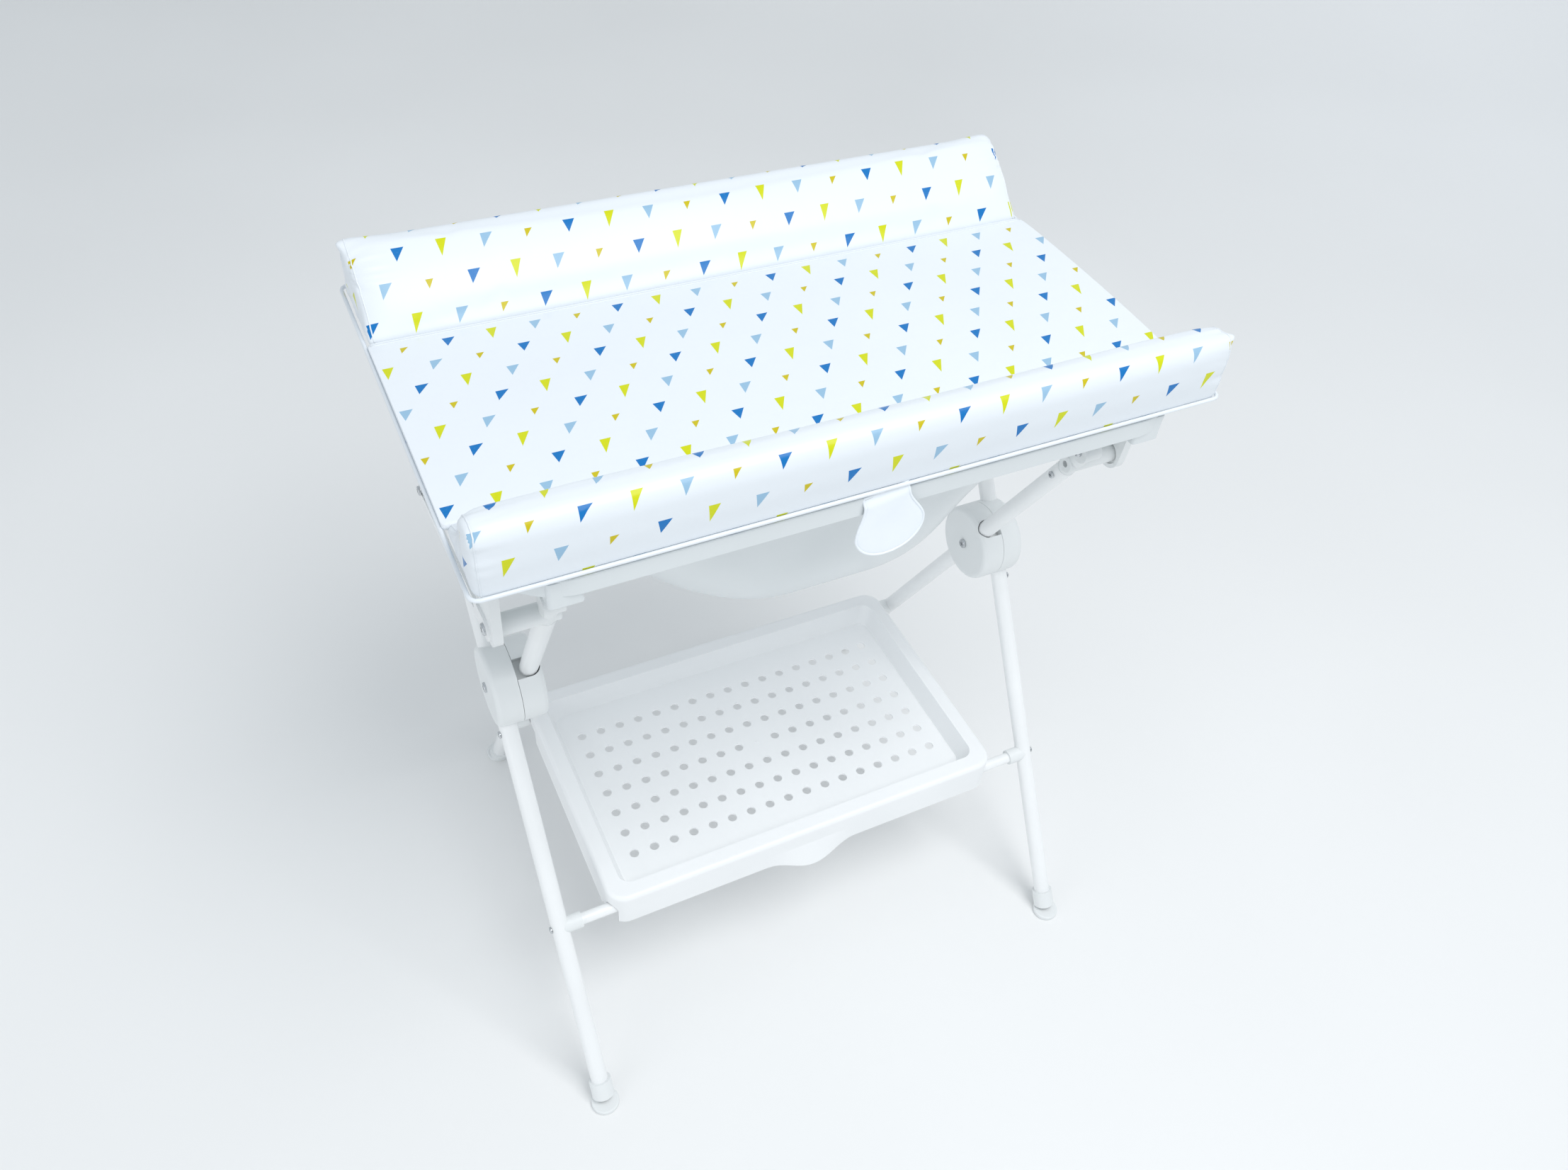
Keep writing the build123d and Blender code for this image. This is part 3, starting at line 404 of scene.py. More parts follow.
def print_finish(settings):
    """White vinyl with rows of small triangles, four colours in turn, their points to the near side.

    The piece's UV map holds metres along the pad and metres over its section. A cell is one pitch wide
    and one row high, and each row starts half a pitch further on. A triangle is where the distance from
    the cell's leaning middle line is under half its width times the share of its height still left
    towards the point.
    """
    finish = Finish("printed_vinyl", Coat_Weight=0.16, Coat_Roughness=0.22, Specular_IOR_Level=0.25)
    along, over, _ = finish.axes(finish.node("ShaderNodeUVMap", {"uv_map": PRINT_MAP}))
    over = over + settings.row_start
    row = (over / settings.row_height).floor()
    shifted = along / settings.pitch + row * 0.5 + FIRST_COLUMN
    column = shifted.floor()
    motifs = (
        (14.0 * MM, 15.5 * MM, settings.deep_blue),
        (12.0 * MM, 20.5 * MM, settings.lime),
        (13.5 * MM, 16.5 * MM, settings.pale_blue),
        (9.0 * MM, 10.5 * MM, settings.ochre),
    )
    turn = (column + row).remainder(float(len(motifs)))
    across = (shifted.fraction() - 0.5) * settings.pitch
    up = ((over / settings.row_height).fraction() - 0.5) * settings.row_height
    cell = finish.node("ShaderNodeCombineXYZ", inputs=[column, row, 0.0])
    chance = finish.node("ShaderNodeTexWhiteNoise", {"noise_dimensions": "3D"}, {"Vector": cell})
    cloud = finish.noise(scale=5.0, detail=3.0)
    wear = finish.noise(scale=420.0, detail=2.0).ramp(low=0.15, high=0.42)
    cover = 0.95 + wear * 0.05
    colour = finish.clouded(cloud, settings.vinyl, share=0.975, low=0.3, high=0.8)
    inks = []
    for index, (width, height, tint) in enumerate(motifs):
        share = up / height + 0.5
        lean = (chance * LEAN_SPREAD + LEAN_LEAST) * -width
        middle = across - lean * (0.5 - share)
        side = share * (width / 2.0) - abs(middle)
        inside = side.ramp(0.0, INK_EDGE) * (height / 2.0 - up).ramp(0.0, INK_EDGE)
        chosen = (abs(turn - float(index)) < 0.5) * inside
        colour = finish.mix(chosen * cover, colour, rgba(tint))
        inks.append(chosen)
    finish.drive("Base Color", colour)
    finish.drive("Roughness", 0.33 + cloud * 0.08 - sum(inks) * 0.05)
    grain = finish.noise(scale=1500.0, detail=2.0)
    dents = finish.noise(scale=45.0, detail=2.0)
    dented = finish.bump(dents, distance=0.5 * MM)
    finish.drive("Normal", finish.bump(grain, distance=0.05 * MM, over=dented))
    return finish.material


def floor_finish(colour, right, ahead):
    """Matt studio floor, a little clouded, with painted light: it is painted paler to the right behind the
    table.

    Its place is read in the camera's own level directions, right and ahead.
    """
    finish = Finish("studio_floor", Roughness=0.7, Specular_IOR_Level=0.2)
    cloud = finish.noise(scale=0.8, detail=2.0)
    x, y, _ = finish.axes(finish.place())
    rightward = (x * right[0] + y * right[1]).ramp(low=0.3, high=2.2)
    behind = (x * ahead[0] + y * ahead[1]).ramp(low=0.8, high=2.8)
    clouded = finish.clouded(cloud, colour, share=1.05, low=0.3, high=0.7)
    # painted light: the floor is blended towards a paler copy of its colour to the right behind the table
    finish.drive("Base Color", finish.mix(rightward * behind, clouded, rgba(colour, share=1.17)))
    return finish.material


def give(material, *names):
    """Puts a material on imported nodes."""
    for name in names:
        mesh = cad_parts[name].data
        mesh.materials.clear()
        mesh.materials.append(material)


def pair(name):
    """The left and right nodes of that name."""
    return f"{name}_left", f"{name}_right"


# The pad's section, in metres: (y, z) points from the near bottom edge over to the far one

def near_outline():
    """Near bolster: up the outer face, over a round ridge, down to the bed, and back along the base.

    The ridge is two arcs of one radius whose centres are a brow apart, the first a quarter turn. The
    slope is a straight line from the ridge to the valley, lowered by sag times sin(pi t) at its share t.
    """
    front, back = NEAR_LOW[1] + 1.5 * MM, NEAR_HIGH[1]
    ridge, brow, sag = 12.0 * MM, 11.0 * MM, 12.0 * MM
    centre_y, centre_z = front + ridge, NEAR_HIGH[2] - 1.0 * MM - ridge
    rise = np.linspace(math.pi, QUARTER_TURN, num=8)
    fall = np.linspace(0.45 * math.pi, 0.1 * math.pi, num=7)
    cap = np.vstack([arc((centre_y, centre_z), ridge, rise),
                     arc((centre_y + brow, centre_z), ridge, fall)])
    share = np.linspace(0.0, 1.0, num=9)[1:]
    low = sag * np.sin(math.pi * share)
    slope = np.stack([cap[-1, 0] + (back - cap[-1, 0]) * share,
                      cap[-1, 1] + (EDGE_Z - cap[-1, 1]) * share - low], axis=1)
    return np.vstack([[front, BASE_Z], cap, slope, [back, BASE_Z]])


def far_outline():
    """Far bolster: up from the bed, over the top edge, and down the leaning back.

    The slope is a straight line from the valley, raised by bow times sin(pi t) at its share t. The top
    edge is an arc of the ridge's radius.
    """
    front, back = FAR_LOW[1], FAR_HIGH[1] - 3.0 * MM
    top_y, top = FAR_LOW[1] + 90.0 * MM, FAR_HIGH[2]
    ridge, bow = 16.0 * MM, 6.0 * MM
    share = np.linspace(0.0, 1.0, num=10)
    end_y, end_z = top_y - ridge * 0.8, top - ridge * 0.35
    slope = np.stack([front + (end_y - front) * share,
                      EDGE_Z + (end_z - EDGE_Z) * share + bow * np.sin(math.pi * share)], axis=1)
    turn = np.linspace(0.6 * math.pi, 0.02 * math.pi, num=7)
    cap = arc((top_y, top - ridge), ridge, turn)
    return np.vstack([slope, cap, [back, BASE_Z], [front, BASE_Z]])


def bed_outline():
    """Bed: a crown between the valleys that rises with sin(pi t) to the power 0.6 at its share t."""
    front, back = BED_LOW[1] - 2.0 * MM, BED_HIGH[1] + 2.0 * MM
    share = np.linspace(0.0, 1.0, BED_STEPS)
    crown = np.stack([front + (back - front) * share,
                      EDGE_Z + (BED_HIGH[2] - EDGE_Z) * np.sin(math.pi * share) ** 0.6], axis=1)
    return np.vstack([crown, [back, BASE_Z], [front, BASE_Z]])


def print_path():
    """The whole printed face as one open line, near bottom edge to far bottom edge."""
    inner_crown = bed_outline()[1:BED_STEPS - 1]
    return np.vstack([near_outline()[:-1], inner_crown, far_outline()[:-1]])


def add_print_map(piece):
    """Gives each corner its place on the flat print.

    On the long faces the place is x and the length over the section, taken at the nearest point of
    the section's line. On an end, where the face looks along x, the section place is kept and the
    depth behind the edge is added to x, so the print folds over the seam.
    """
    mesh = piece.data
    path = print_path()
    steps = np.diff(path, axis=0)
    lengths = np.linalg.norm(steps, axis=1)
    reach = np.concatenate([[0.0], np.cumsum(lengths)])
    points = vertex_array(piece)
    depth = np.full(len(points), np.inf)
    over = np.zeros(len(points))
    for start, step, length, before in zip(path, steps, lengths, reach):
        if length < SAME_POINT:
            continue
        share = np.clip(((points[:, 1:] - start) @ step) / length ** 2, 0.0, 1.0)
        distance = np.linalg.norm(points[:, 1:] - start - share[:, None] * step, axis=1)
        better = distance < depth
        depth = np.where(better, distance, depth)
        over = np.where(better, before + share * length, over)
    loops = np.empty(len(mesh.loops), dtype=np.int32)
    mesh.loops.foreach_get("vertex_index", loops)
    normals = np.empty(len(mesh.polygons) * 3)
    mesh.polygons.foreach_get("normal", normals)
    totals = np.empty(len(mesh.polygons), dtype=np.int32)
    mesh.polygons.foreach_get("loop_total", totals)
    facing = np.repeat(normals.reshape(-1, 3)[:, 0], totals)
    fold = np.where(np.abs(facing) > END_FACING, np.sign(facing) * depth[loops], 0.0)
    places = np.stack([points[loops, 0] + fold, over[loops]], axis=1)
    layer = mesh.uv_layers.new(name=PRINT_MAP)
    layer.data.foreach_set("uv", places.astype(np.float32).ravel())


def cushion_rings(outline, half_length, corner, stations, columns):
    """Rings of a long cushion: its outline carried along x and drawn in round each end.

    At an end, x follows corner times the sine of an angle, and the outline shrinks towards its middle
    by corner times one minus the cosine, as a rounded corner does.
    """
    ring = resample(outline, columns)
    middle = ring.mean(axis=0)
    span = np.linalg.norm(ring - middle, axis=1).max()
    turn = np.linspace(QUARTER_TURN, 0.0, END_STEPS)
    inner = half_length - corner
    xs = np.concatenate([-(inner + corner * np.sin(turn)), np.linspace(-inner, inner, stations)[1:-1],
                         inner + corner * np.sin(turn[::-1])])
    pull = corner * (1.0 - np.cos(turn))
    pulls = np.concatenate([pull, np.zeros(stations - 2), pull[::-1]])
    scale = 1.0 - pulls / span
    flat = middle + (ring - middle)[None, :, :] * scale[:, None, None]
    x = np.broadcast_to(xs[:, None, None], (len(xs), columns, 1))
    return np.concatenate([x, flat], axis=2)


def plump(piece, voxel, cap, low, high):
    """Blows the cover up a little as foam does: remesh, cloth under pressure, movement capped.

    Each point moves at most cap from its start, less near the sewn base, and stays over the base and
    inside low and high.
    """
    remesh = piece.modifiers.new("remesh", "REMESH")
    remesh.mode = "VOXEL"
    remesh.voxel_size = voxel
    apply_modifiers(piece)
    start = vertex_array(piece)
    cloth = piece.modifiers.new("cover", "CLOTH").settings
    cloth.use_pressure = True
    cloth.uniform_pressure_force = PRESSURE
    cloth.effector_weights.gravity = 0.0
    cloth.quality = 6
    cloth.tension_stiffness = 40.0
    cloth.compression_stiffness = 30.0
    cloth.bending_stiffness = 4.0
    scene = bpy.context.scene
    for step in range(1, CLOTH_STEPS + 1):
        scene.frame_set(step)
    apply_modifiers(piece)
    scene.frame_set(1)
    moved = vertex_array(piece) - start
    size = np.linalg.norm(moved, axis=1)
    room = cap * smoothstep(STILL_BELOW, FREE_ABOVE, start[:, 2])
    points = start + moved * np.minimum(1.0, room / np.maximum(size, NO_MOVE))[:, None]
    points = np.clip(points, low, high)
    points[:, 2] = np.maximum(points[:, 2], BASE_Z)
    set_vertices(piece, points)


def relax(piece):
    """Smooths the stair steps that a remesh leaves, then adds one subdivision."""
    smooth = piece.modifiers.new("even", "SMOOTH")
    smooth.factor = 0.5
    smooth.iterations = 2
    finer = piece.modifiers.new("finer", "SUBSURF")
    finer.levels = 1
    finer.render_levels = 1
    apply_modifiers(piece)
    piece.data.shade_smooth()


def end_wrinkles(piece, depth, reach, waves, focus, seed):
    """Gathers near both ends: ridges that fan out from a focus and die away along the pad.

    The height is a sum of sines of the angle about the focus, times a falloff with the distance from
    the end. Each end has its own phase.
    """
    points = vertex_array(piece)
    normals = np.empty(len(points) * 3)
    piece.data.vertices.foreach_get("normal", normals)
    normals = normals.reshape(-1, 3)
    rng = np.random.default_rng(seed)
    shift = np.zeros(len(points))
    angle = np.arctan2(points[:, 2] - focus[1], points[:, 1] - focus[0])
    for side in (-1.0, 1.0):
        phase = rng.uniform(0.0, FULL_TURN, 3)
        inward = HALF_LENGTH - side * points[:, 0]
        fade = np.clip(1.0 - inward / reach, 0.0, 1.0) ** 2
        wave = (np.sin(waves * angle + phase[0]) + 0.6 * np.sin(1.7 * waves * angle + phase[1])
                + 0.4 * np.sin(2.9 * waves * angle + inward / reach * 3.0 + phase[2]))
        shift += fade * wave * depth * smoothstep(-2.0 * MM, 12.0 * MM, inward)
    shift *= smoothstep(BASE_Z, BASE_Z + 6.0 * MM, points[:, 2])
    set_vertices(piece, points + normals * shift[:, None])


def pinch(piece, place, reach, push):
    """Draws a small ear out of the cover: each point moves by push times exp(-(distance / reach)^2)."""
    points = vertex_array(piece)
    near = np.exp(-(np.linalg.norm(points - np.array(place), axis=1) / reach) ** 2)
    set_vertices(piece, points + near[:, None] * np.array(push))


def laid_on(piece, path, lift):
    """Moves each point of a path to the nearest point of the piece, lifted along its normal."""
    polygons = [tuple(face.vertices) for face in piece.data.polygons]
    tree = BVHTree.FromPolygons(vertex_array(piece).tolist(), polygons)
    laid = []
    for point in path:
        place, normal, _, _ = tree.find_nearest(Vector(point))
        laid.append(tuple(place + normal * lift))
    return np.array(laid)


def finish_trim(piece, material):
    """What every piece of the pad gets at the end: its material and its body."""
    piece.data.materials.clear()
    piece.data.materials.append(material)
    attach(piece, "changer_top")


def finish_cushion(piece, node):
    """What every printed cushion gets at the end."""
    finish_trim(piece, MATERIALS["print"])
    add_print_map(piece)
    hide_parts(node)


def make_bolster(name, node, outline, low, high, voxel, swell, waves, seed, ear, pull):
    """One bolster: its outline carried along, blown up by swell at most, with gathers, an ear and seams.

    ear is the place of the ear, which pull draws out of the cover.
    """
    rings = cushion_rings(outline, BOLSTER_END, BOLSTER_CORNER, stations=60, columns=96)
    piece = new_piece(name, *closed_skin(rings))
    outward_faces(piece)
    plump(piece, voxel, swell, low - COVER_ROOM, high + COVER_ROOM)
    relax(piece)
    focus = outline[:, 0].mean(), outline[:, 1].max() - 25.0 * MM
    end_wrinkles(piece, 0.8 * MM, reach=60.0 * MM, waves=waves, focus=focus, seed=seed)
    pinch(piece, ear, reach=7.0 * MM, push=pull)
    finish_cushion(piece, node)
    line = resample(outline[:-1], count=110, closed=False)
    for side, sign in (("left", -1.0), ("right", 1.0)):
        seam = np.column_stack([np.full(len(line), sign * (HALF_LENGTH - BOLSTER_CORNER)), line])
        bead = tube(f"{name}_seam_{side}", laid_on(piece, seam, lift=-0.1 * MM), BEAD, sides=8)
        finish_trim(bead, MATERIALS["plain"])


class PadSettings(bpy.types.PropertyGroup):
    """Sizes and colours of the padded top."""
    vinyl: bpy.props.FloatVectorProperty(name="Vinyl", description="Colour of the plain cover", size=3,
                                         subtype="COLOR", default=(0.82, 0.86, 0.90))
    deep_blue: bpy.props.FloatVectorProperty(name="Deep blue", description="First printed colour", size=3,
                                             subtype="COLOR", default=(0.0, 0.17, 0.5))
    lime: bpy.props.FloatVectorProperty(name="Lime", description="Second printed colour", size=3,
                                        subtype="COLOR", default=(0.64, 0.68, 0.001))
    pale_blue: bpy.props.FloatVectorProperty(name="Pale blue", description="Third printed colour", size=3,
                                             subtype="COLOR", default=(0.31, 0.51, 0.69))
    ochre: bpy.props.FloatVectorProperty(name="Ochre", description="Fourth printed colour", size=3,
                                         subtype="COLOR", default=(0.60, 0.50, 0.004))
    pitch: bpy.props.FloatProperty(name="Pitch", description="Spacing of the print along the pad",
                                   unit="LENGTH", default=0.046)
    row_height: bpy.props.FloatProperty(name="Row height", description="Spacing of the rows of the print",
                                        unit="LENGTH", default=0.036)
    row_start: bpy.props.FloatProperty(name="Row start", description="How far into a row the print begins",
                                       unit="LENGTH", default=0.023)
    voxel: bpy.props.FloatProperty(name="Voxel", description="Grid of the cover's remesh", unit="LENGTH",
                                   default=0.005)
    piping: bpy.props.FloatProperty(name="Piping", description="Radius of the piped edge", unit="LENGTH",
                                    default=0.0021)
    # painted light: the tab is the same plain vinyl as the piping, given a lighter copy of its colour because
    # it faces the front
    tab_painted_light_colour: bpy.props.FloatVectorProperty(name="Tab colour", description="Colour of the pull tab", size=3,
                                              subtype="COLOR", default=(0.9, 0.945, 0.99))
    tab_root: bpy.props.FloatProperty(name="Tab root", description="Half width of the tab at its root",
                                      unit="LENGTH", default=0.024)
    tab_width: bpy.props.FloatProperty(name="Tab width", description="Half width of the tab's round end",
                                       unit="LENGTH", default=0.0375)
    tab_drop: bpy.props.FloatProperty(name="Tab drop", description="Length of the tab below the pad",
                                      unit="LENGTH", default=0.0765)
    tab_tilt: bpy.props.FloatProperty(name="Tab tilt", description="Turn of the tab to the right",
                                      subtype="ANGLE", default=math.radians(10.0))


class ShellSettings(bpy.types.PropertyGroup):
    """Colours of the stand, the tub and the tray."""
    paint: bpy.props.FloatVectorProperty(name="Paint", description="Colour of the tubes", size=3,
                                         subtype="COLOR", default=(0.92, 0.93, 0.93))
    plastic: bpy.props.FloatVectorProperty(name="Plastic", description="Colour of knuckles and feet", size=3,
                                           subtype="COLOR", default=(0.84, 0.86, 0.86))
    tub: bpy.props.FloatVectorProperty(name="Tub", description="Colour of the bathtub", size=3,
                                       subtype="COLOR", default=(0.74, 0.775, 0.785))
    tray: bpy.props.FloatVectorProperty(name="Tray", description="Colour of the tray", size=3,
                                        subtype="COLOR", default=(0.945, 0.955, 0.96))


class StageSettings(bpy.types.PropertyGroup):
    """Camera, floor and light."""
    place: bpy.props.FloatVectorProperty(name="Camera place", description="Where the camera stands", size=3,
                                         subtype="TRANSLATION", unit="LENGTH",
                                         default=(-0.5148, -0.9245, 1.6258))
    yaw: bpy.props.FloatProperty(name="Yaw", description="Turn of the view to the right", subtype="ANGLE",
                                 default=math.radians(29.758))
    pitch: bpy.props.FloatProperty(name="Pitch", description="Drop of the view below level",
                                   subtype="ANGLE", default=math.radians(45.387))
    roll: bpy.props.FloatProperty(name="Roll", description="Turn of the picture about the view",
                                  subtype="ANGLE", default=math.radians(5.595))
    lens: bpy.props.FloatProperty(name="Lens", description="Focal length for a 36 mm sensor",
                                  unit="CAMERA", default=27.985)
    floor: bpy.props.FloatVectorProperty(name="Floor", description="Colour of the floor", size=3,
                                         subtype="COLOR", default=(0.86, 0.86, 0.855))
    sky: bpy.props.FloatVectorProperty(name="Sky", description="Colour of the light all round", size=3,
                                       subtype="COLOR", max=2.0, default=(0.89, 0.96, 1.02))
    sky_strength: bpy.props.FloatProperty(name="Sky strength", description="Level of the light all round",
                                          default=0.65)
    key_power: bpy.props.FloatProperty(name="Key power", description="Power of the lamp overhead",
                                       unit="POWER", default=72.0)
    side_power: bpy.props.FloatProperty(name="Side power", description="Power of the low lamp on the left",
                                        unit="POWER", default=14.0)
    lamp_width: bpy.props.FloatProperty(name="Lamp width", description="Side of each square lamp",
                                        unit="LENGTH", default=2.2)


class TABLE_OT_stand(bpy.types.Operator):
    """Finishes the tubes, knuckles, feet, fittings and hangers of the stand"""
    bl_idname = "changing_table.stand"
    bl_label = "Finish the stand"

    def execute(self, context):
        look = context.scene.table_shell
        give(painted_tube_finish(look.paint), *pair("front_leg"), *pair("rear_leg"), "front_crossbar",
             "rear_crossbar", *pair("slide_rail"))
        give(moulded_finish("white_plastic", look.plastic, roughness=0.42), *pair("knuckle_outer"),
             *pair("knuckle_inner"), *pair("foot_front"), *pair("foot_rear"), *pair("slide_fitting"),
             *pair("strut_fitting"), *pair("front_hanger"), *pair("rear_hanger"),
             "front_crossbar_collars", "rear_crossbar_collars")
        return {"FINISHED"}


class TABLE_OT_hardware(bpy.types.Operator):
    """Finishes the screws, pins, rivets and hinges"""
    bl_idname = "changing_table.hardware"
    bl_label = "Finish the hardware"

    def execute(self, context):
        zinc = metal_finish("bright_zinc", (0.62, 0.64, 0.66), roughness=0.18, scratches=700.0)
        give(zinc, "pivot_bolts", "front_crossbar_screws", "rear_crossbar_screws", "knuckle_leg_screws",
             "slide_fitting_screws", "strut_fitting_screws", "front_pivot_pins", "slide_pins",
             "rail_rivets", "hinge_pins", "lock_pins")
        leaf = metal_finish("satin_zinc", (0.6, 0.61, 0.62), roughness=0.34, scratches=300.0)
        give(leaf, "hinge_lower_leaves", "hinge_upper_leaves")
        return {"FINISHED"}


class TABLE_OT_tub(bpy.types.Operator):
    """Finishes the bathtub and its drain"""
    bl_idname = "changing_table.tub"
    bl_label = "Finish the bathtub"

    def execute(self, context):
        look = context.scene.table_shell
        give(moulded_finish("tub_plastic", look.tub, roughness=0.3, coat=0.35), "bathtub")
        drain = moulded_finish("drain_plastic", (0.74, 0.76, 0.78), roughness=0.4)
        give(drain, "drain_outlet", "drain_nut")
        give(moulded_finish("plug_rubber", (0.72, 0.74, 0.76), roughness=0.6), "drain_plug")
        return {"FINISHED"}


class TABLE_OT_tray(bpy.types.Operator):
    """Finishes the pierced tray with its clips and rests"""
    bl_idname = "changing_table.tray"
    bl_label = "Finish the tray"

    def execute(self, context):
        look = context.scene.table_shell
        plastic = moulded_finish("tray_plastic", look.tray, roughness=0.38)
        give(plastic, "tray", "tray_clips", "tray_rests")
        return {"FINISHED"}


class TABLE_OT_bed(bpy.types.Operator):
    """Makes the padded bed on its board, and the vinyls of the whole pad"""
    bl_idname = "changing_table.bed"
    bl_label = "Make the bed"

    def execute(self, context):
        look = context.scene.table_pad
        MATERIALS["print"] = print_finish(look)
        MATERIALS["plain"] = plain_vinyl_finish("plain_vinyl", look.vinyl)
        # painted light: the tab's vinyl is a lighter copy of the plain vinyl, brightened for its front-facing
        # face
        MATERIALS["tab"] = plain_vinyl_finish("tab_vinyl_painted_light", look.tab_painted_light_colour)
        give(MATERIALS["plain"], "changer_board")
        rings = cushion_rings(bed_outline(), HALF_LENGTH - 1.0 * MM, corner=4.0 * MM, stations=90,
                              columns=120)
        piece = new_piece("bed", *closed_skin(rings))
        outward_faces(piece)
        finish_cushion(piece, "bed_pad")
        return {"FINISHED"}


class TABLE_OT_bolsters(bpy.types.Operator):
    """Makes the near and far bolsters, with the gathers, ears and seams at their ends"""
    bl_idname = "changing_table.bolsters"
    bl_label = "Make the bolsters"

    def execute(self, context):
        voxel = context.scene.table_pad.voxel
        make_bolster("near_roll", "near_bolster", near_outline(), NEAR_LOW, NEAR_HIGH, voxel,
                     swell=2.5 * MM, waves=9.0, seed=3,
                     ear=(BOLSTER_END, NEAR_LOW[1] + 10.0 * MM, NEAR_HIGH[2] - 4.0 * MM),
                     pull=(6.0 * MM, 0.0, 3.0 * MM))
        make_bolster("far_roll", "far_bolster", far_outline(), FAR_LOW, FAR_HIGH, voxel,
                     swell=4.0 * MM, waves=8.0, seed=8,
                     ear=(-BOLSTER_END, FAR_LOW[1] + 88.0 * MM, FAR_HIGH[2] - 3.0 * MM),
                     pull=(-6.0 * MM, 0.0, 2.0 * MM))
        return {"FINISHED"}


class TABLE_OT_piping(bpy.types.Operator):
    """Makes the plain piping round the bottom edge, and the welt and the stitches along the far valley"""
    bl_idname = "changing_table.piping"
    bl_label = "Make the piping"

    def execute(self, context):
        look = context.scene.table_pad
        # the edge is a rectangle whose corners are quarter circles
        half_x = HALF_LENGTH + 0.5 * MM
        low_y, high_y = NEAR_LOW[1] + 0.3 * MM, FAR_HIGH[1] - 3.0 * MM
        quarter = np.linspace(0.0, QUARTER_TURN, num=9)
        inner_x = half_x - EDGE_CORNER
        centres = ((inner_x, high_y - EDGE_CORNER), (-inner_x, high_y - EDGE_CORNER),
                   (-inner_x, low_y + EDGE_CORNER), (inner_x, low_y + EDGE_CORNER))
        corners = [arc(centre, EDGE_CORNER, quarter + turn * QUARTER_TURN)
                   for turn, centre in enumerate(centres)]
        loop = resample(np.concatenate(corners), count=560)
        path = np.column_stack([loop, np.full(len(loop), BASE_Z + 1.4 * MM)])
        finish_trim(tube("edge_piping", path, look.piping, sides=12, closed=True), MATERIALS["plain"])
        places = np.linspace(-HALF_LENGTH + 4.0 * MM, HALF_LENGTH - 4.0 * MM, num=160)
        for name, back in (("far_welt", 1.2 * MM), ("far_stitch", 5.0 * MM)):
            line = np.column_stack([places, np.full(len(places), FAR_LOW[1] - back),
                                    np.full(len(places), EDGE_Z + 0.6 * MM)])
            bead = tube(name, laid_on(bpy.data.objects["bed"], line, lift=0.1 * MM), BEAD, sides=8)
            finish_trim(bead, MATERIALS["plain"])
        return {"FINISHED"}


class TABLE_OT_tab(bpy.types.Operator):
    """Makes the pull tab with its piped edge"""
    bl_idname = "changing_table.tab"
    bl_label = "Make the pull tab"

    def execute(self, context):
        look = context.scene.table_pad
        root = np.array([(TAB_LOW[0] + TAB_HIGH[0]) / 2.0 - 8.5 * MM, TAB_HIGH[2] - 4.0 * MM])
        depth = look.tab_drop
        # half width over the drop: straight root, a flare to the widest place, then a round end
        drop = np.linspace(0.0, 1.0, num=80)
        flare_start, flare_end, round_start, roundness = 0.12, 0.64, 0.6, 2.1
        flare = look.tab_root + (look.tab_width - look.tab_root) * smoothstep(flare_start, flare_end, drop)
        past = np.clip((drop - round_start) / (1.0 - round_start), 0.0, 1.0)
        width = flare * np.sqrt(np.clip(1.0 - past ** roundness, 0.0, 1.0))
        right = np.column_stack([width, -depth * drop])
        left = np.column_stack([-width, -depth * drop])[::-1]
        edge = resample(np.vstack([right, left[1:]]), count=160)
        centre = np.array([0.0, -depth * 0.58])
        crown, thickness = 1.6 * MM, 0.35 * MM
        tilt = look.tab_tilt
        turn = np.array([[math.cos(tilt), math.sin(tilt)], [-math.sin(tilt), math.cos(tilt)]])
        face_y = (TAB_LOW[1] + TAB_HIGH[1]) / 2.0 - 0.6 * MM

        def hung(flat, ahead):
            """The flat points turned, hung from the root and moved ahead of the tab's middle sheet.

            The sheet's depth is the face's, plus a tuck that fades below the root, less a curl of 5 mm
            times the cube of the drop's share t and 1.5 mm times t times the square of the place across.
            """
            share = np.clip(-flat[:, 1] / depth, 0.0, 1.0)
            tuck_end = 0.13
            tuck = 3.6 * MM * (1.0 - smoothstep(0.0, tuck_end, share))
            curl = 5.0 * MM * share ** 3 + 1.5 * MM * (flat[:, 0] / look.tab_width) ** 2 * share
            placed = root + flat @ turn
            return np.column_stack([placed[:, 0], face_y + tuck - curl - ahead, placed[:, 1]])

        # rings drawn in towards the centre: out along the flat back, then in over the front, which
        # is crowned by the root of one less the fourth power of the ring's share
        shares = np.linspace(1.0, 0.04, num=18)
        back = [hung(centre + (edge - centre) * share, -thickness) for share in shares[::-1]]
        front = [hung(centre + (edge - centre) * share, crown * math.sqrt(1.0 - share ** 4))
                 for share in shares]
        tab = new_piece("tab", *closed_skin(np.array(back + front)))
        outward_faces(tab)
        # the tab and its piping take the tab vinyl, a painted light copy of the plain vinyl
        finish_trim(tab, MATERIALS["tab"])
        bead = tube("tab_piping", hung(edge, 0.0), TAB_BEAD, sides=10, closed=True)
        finish_trim(bead, MATERIALS["tab"])
        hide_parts("pull_tab")
        return {"FINISHED"}


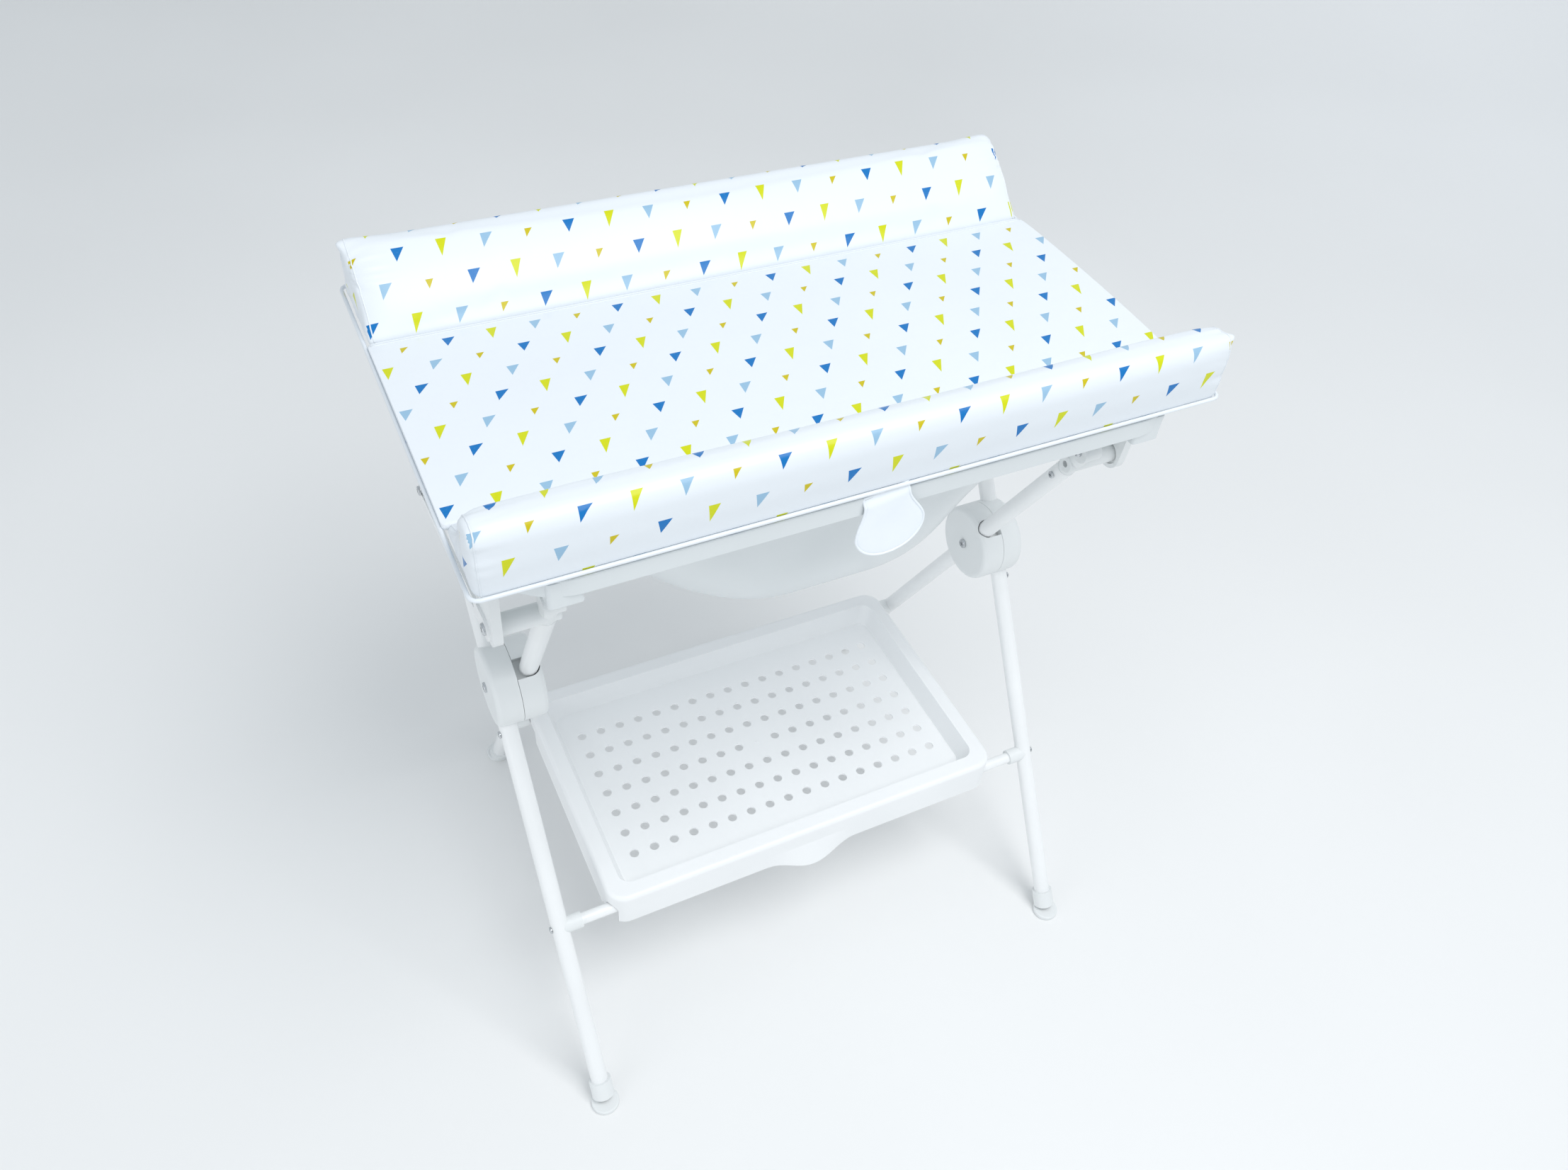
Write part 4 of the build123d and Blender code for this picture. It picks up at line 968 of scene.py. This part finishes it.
class TABLE_OT_stage(bpy.types.Operator):
    """Makes the floor, the soft light and the camera"""
    bl_idname = "changing_table.stage"
    bl_label = "Make the stage"

    def execute(self, context):
        look = context.scene.table_stage
        scene = context.scene

        # the floor is level, then bends up a quarter circle behind the table, away from the camera
        reach, level_end, bend, wall_top = 12.0, 3.2, 1.6, 5.0
        sweep = np.linspace(0.0, QUARTER_TURN, num=16)
        profile = np.vstack([
            [-reach, 0.0], [level_end, 0.0],
            np.stack([level_end + bend * np.sin(sweep), bend * (1.0 - np.cos(sweep))], axis=1)[1:],
            [level_end + bend, wall_top]])
        right = np.array([math.cos(look.yaw), -math.sin(look.yaw), 0.0])
        ahead = np.array([math.sin(look.yaw), math.cos(look.yaw), 0.0])
        up = np.array([0.0, 0.0, 1.0])
        sides = np.array([-reach, reach])
        grid = (sides[None, :, None] * right + profile[:, None, :1] * ahead + profile[:, None, 1:] * up)
        floor = new_piece("floor", grid.reshape(-1, 3), grid_faces(len(profile), len(sides), wrap=False))
        floor.data.materials.append(floor_finish(look.floor, right, ahead))

        world = bpy.data.worlds.new("studio")
        scene.world = world
        world.use_nodes = True
        background = world.node_tree.nodes["Background"]
        background.inputs["Color"].default_value = (*look.sky, 1.0)
        background.inputs["Strength"].default_value = look.sky_strength

        middle = Vector((0.0, 0.0, 0.6))
        lamps = (
            ("key", Vector((0.7, -1.5, 3.8)), look.key_power),
            ("side", Vector((-2.9, -1.2, 1.1)), look.side_power),
        )
        for name, place, power in lamps:
            data = bpy.data.lights.new(name, "AREA")
            data.shape = "SQUARE"
            data.size = look.lamp_width
            data.energy = power
            lamp = bpy.data.objects.new(name, data)
            lamp.location = place
            lamp.rotation_euler = (middle - place).to_track_quat("-Z", "Y").to_euler()
            scene.collection.objects.link(lamp)

        data = bpy.data.cameras.new("camera")
        data.lens = look.lens
        data.sensor_width = 36.0
        camera = bpy.data.objects.new("camera", data)
        level = Euler((QUARTER_TURN - look.pitch, 0.0, -look.yaw), "XYZ").to_matrix()
        camera.matrix_world = (Matrix.Translation(look.place)
                               @ (level @ Matrix.Rotation(look.roll, 3, "Z")).to_4x4())
        scene.collection.objects.link(camera)
        scene.camera = camera
        scene.view_settings.view_transform = "Standard"
        return {"FINISHED"}


class TABLE_PT_panel(bpy.types.Panel):
    """Lists the steps in the sidebar"""
    bl_idname = "TABLE_PT_panel"
    bl_label = "Changing Table"
    bl_space_type = "VIEW_3D"
    bl_region_type = "UI"
    bl_category = "Changing Table"

    def draw(self, context):
        for step in STEPS:
            self.layout.operator(step.bl_idname)


GROUPS = (PadSettings, ShellSettings, StageSettings)
STEPS = (TABLE_OT_stand, TABLE_OT_hardware, TABLE_OT_tub, TABLE_OT_tray, TABLE_OT_bed, TABLE_OT_bolsters,
         TABLE_OT_piping, TABLE_OT_tab, TABLE_OT_stage)
CLASSES = GROUPS + STEPS + (TABLE_PT_panel,)


def register():
    """Adds the classes, and their settings to the scene."""
    for cls in CLASSES:
        bpy.utils.register_class(cls)
    bpy.types.Scene.table_pad = bpy.props.PointerProperty(type=PadSettings)
    bpy.types.Scene.table_shell = bpy.props.PointerProperty(type=ShellSettings)
    bpy.types.Scene.table_stage = bpy.props.PointerProperty(type=StageSettings)


def unregister():
    """Takes the settings and the classes away again."""
    del bpy.types.Scene.table_pad
    del bpy.types.Scene.table_shell
    del bpy.types.Scene.table_stage
    for cls in reversed(CLASSES):
        bpy.utils.unregister_class(cls)


def main():
    """Runs every step in order."""
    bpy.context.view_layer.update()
    register()
    bpy.ops.changing_table.stand()
    bpy.ops.changing_table.hardware()
    bpy.ops.changing_table.tub()
    bpy.ops.changing_table.tray()
    bpy.ops.changing_table.bed()
    bpy.ops.changing_table.bolsters()
    bpy.ops.changing_table.piping()
    bpy.ops.changing_table.tab()
    bpy.ops.changing_table.stage()


if __name__ == "__main__":
    main()
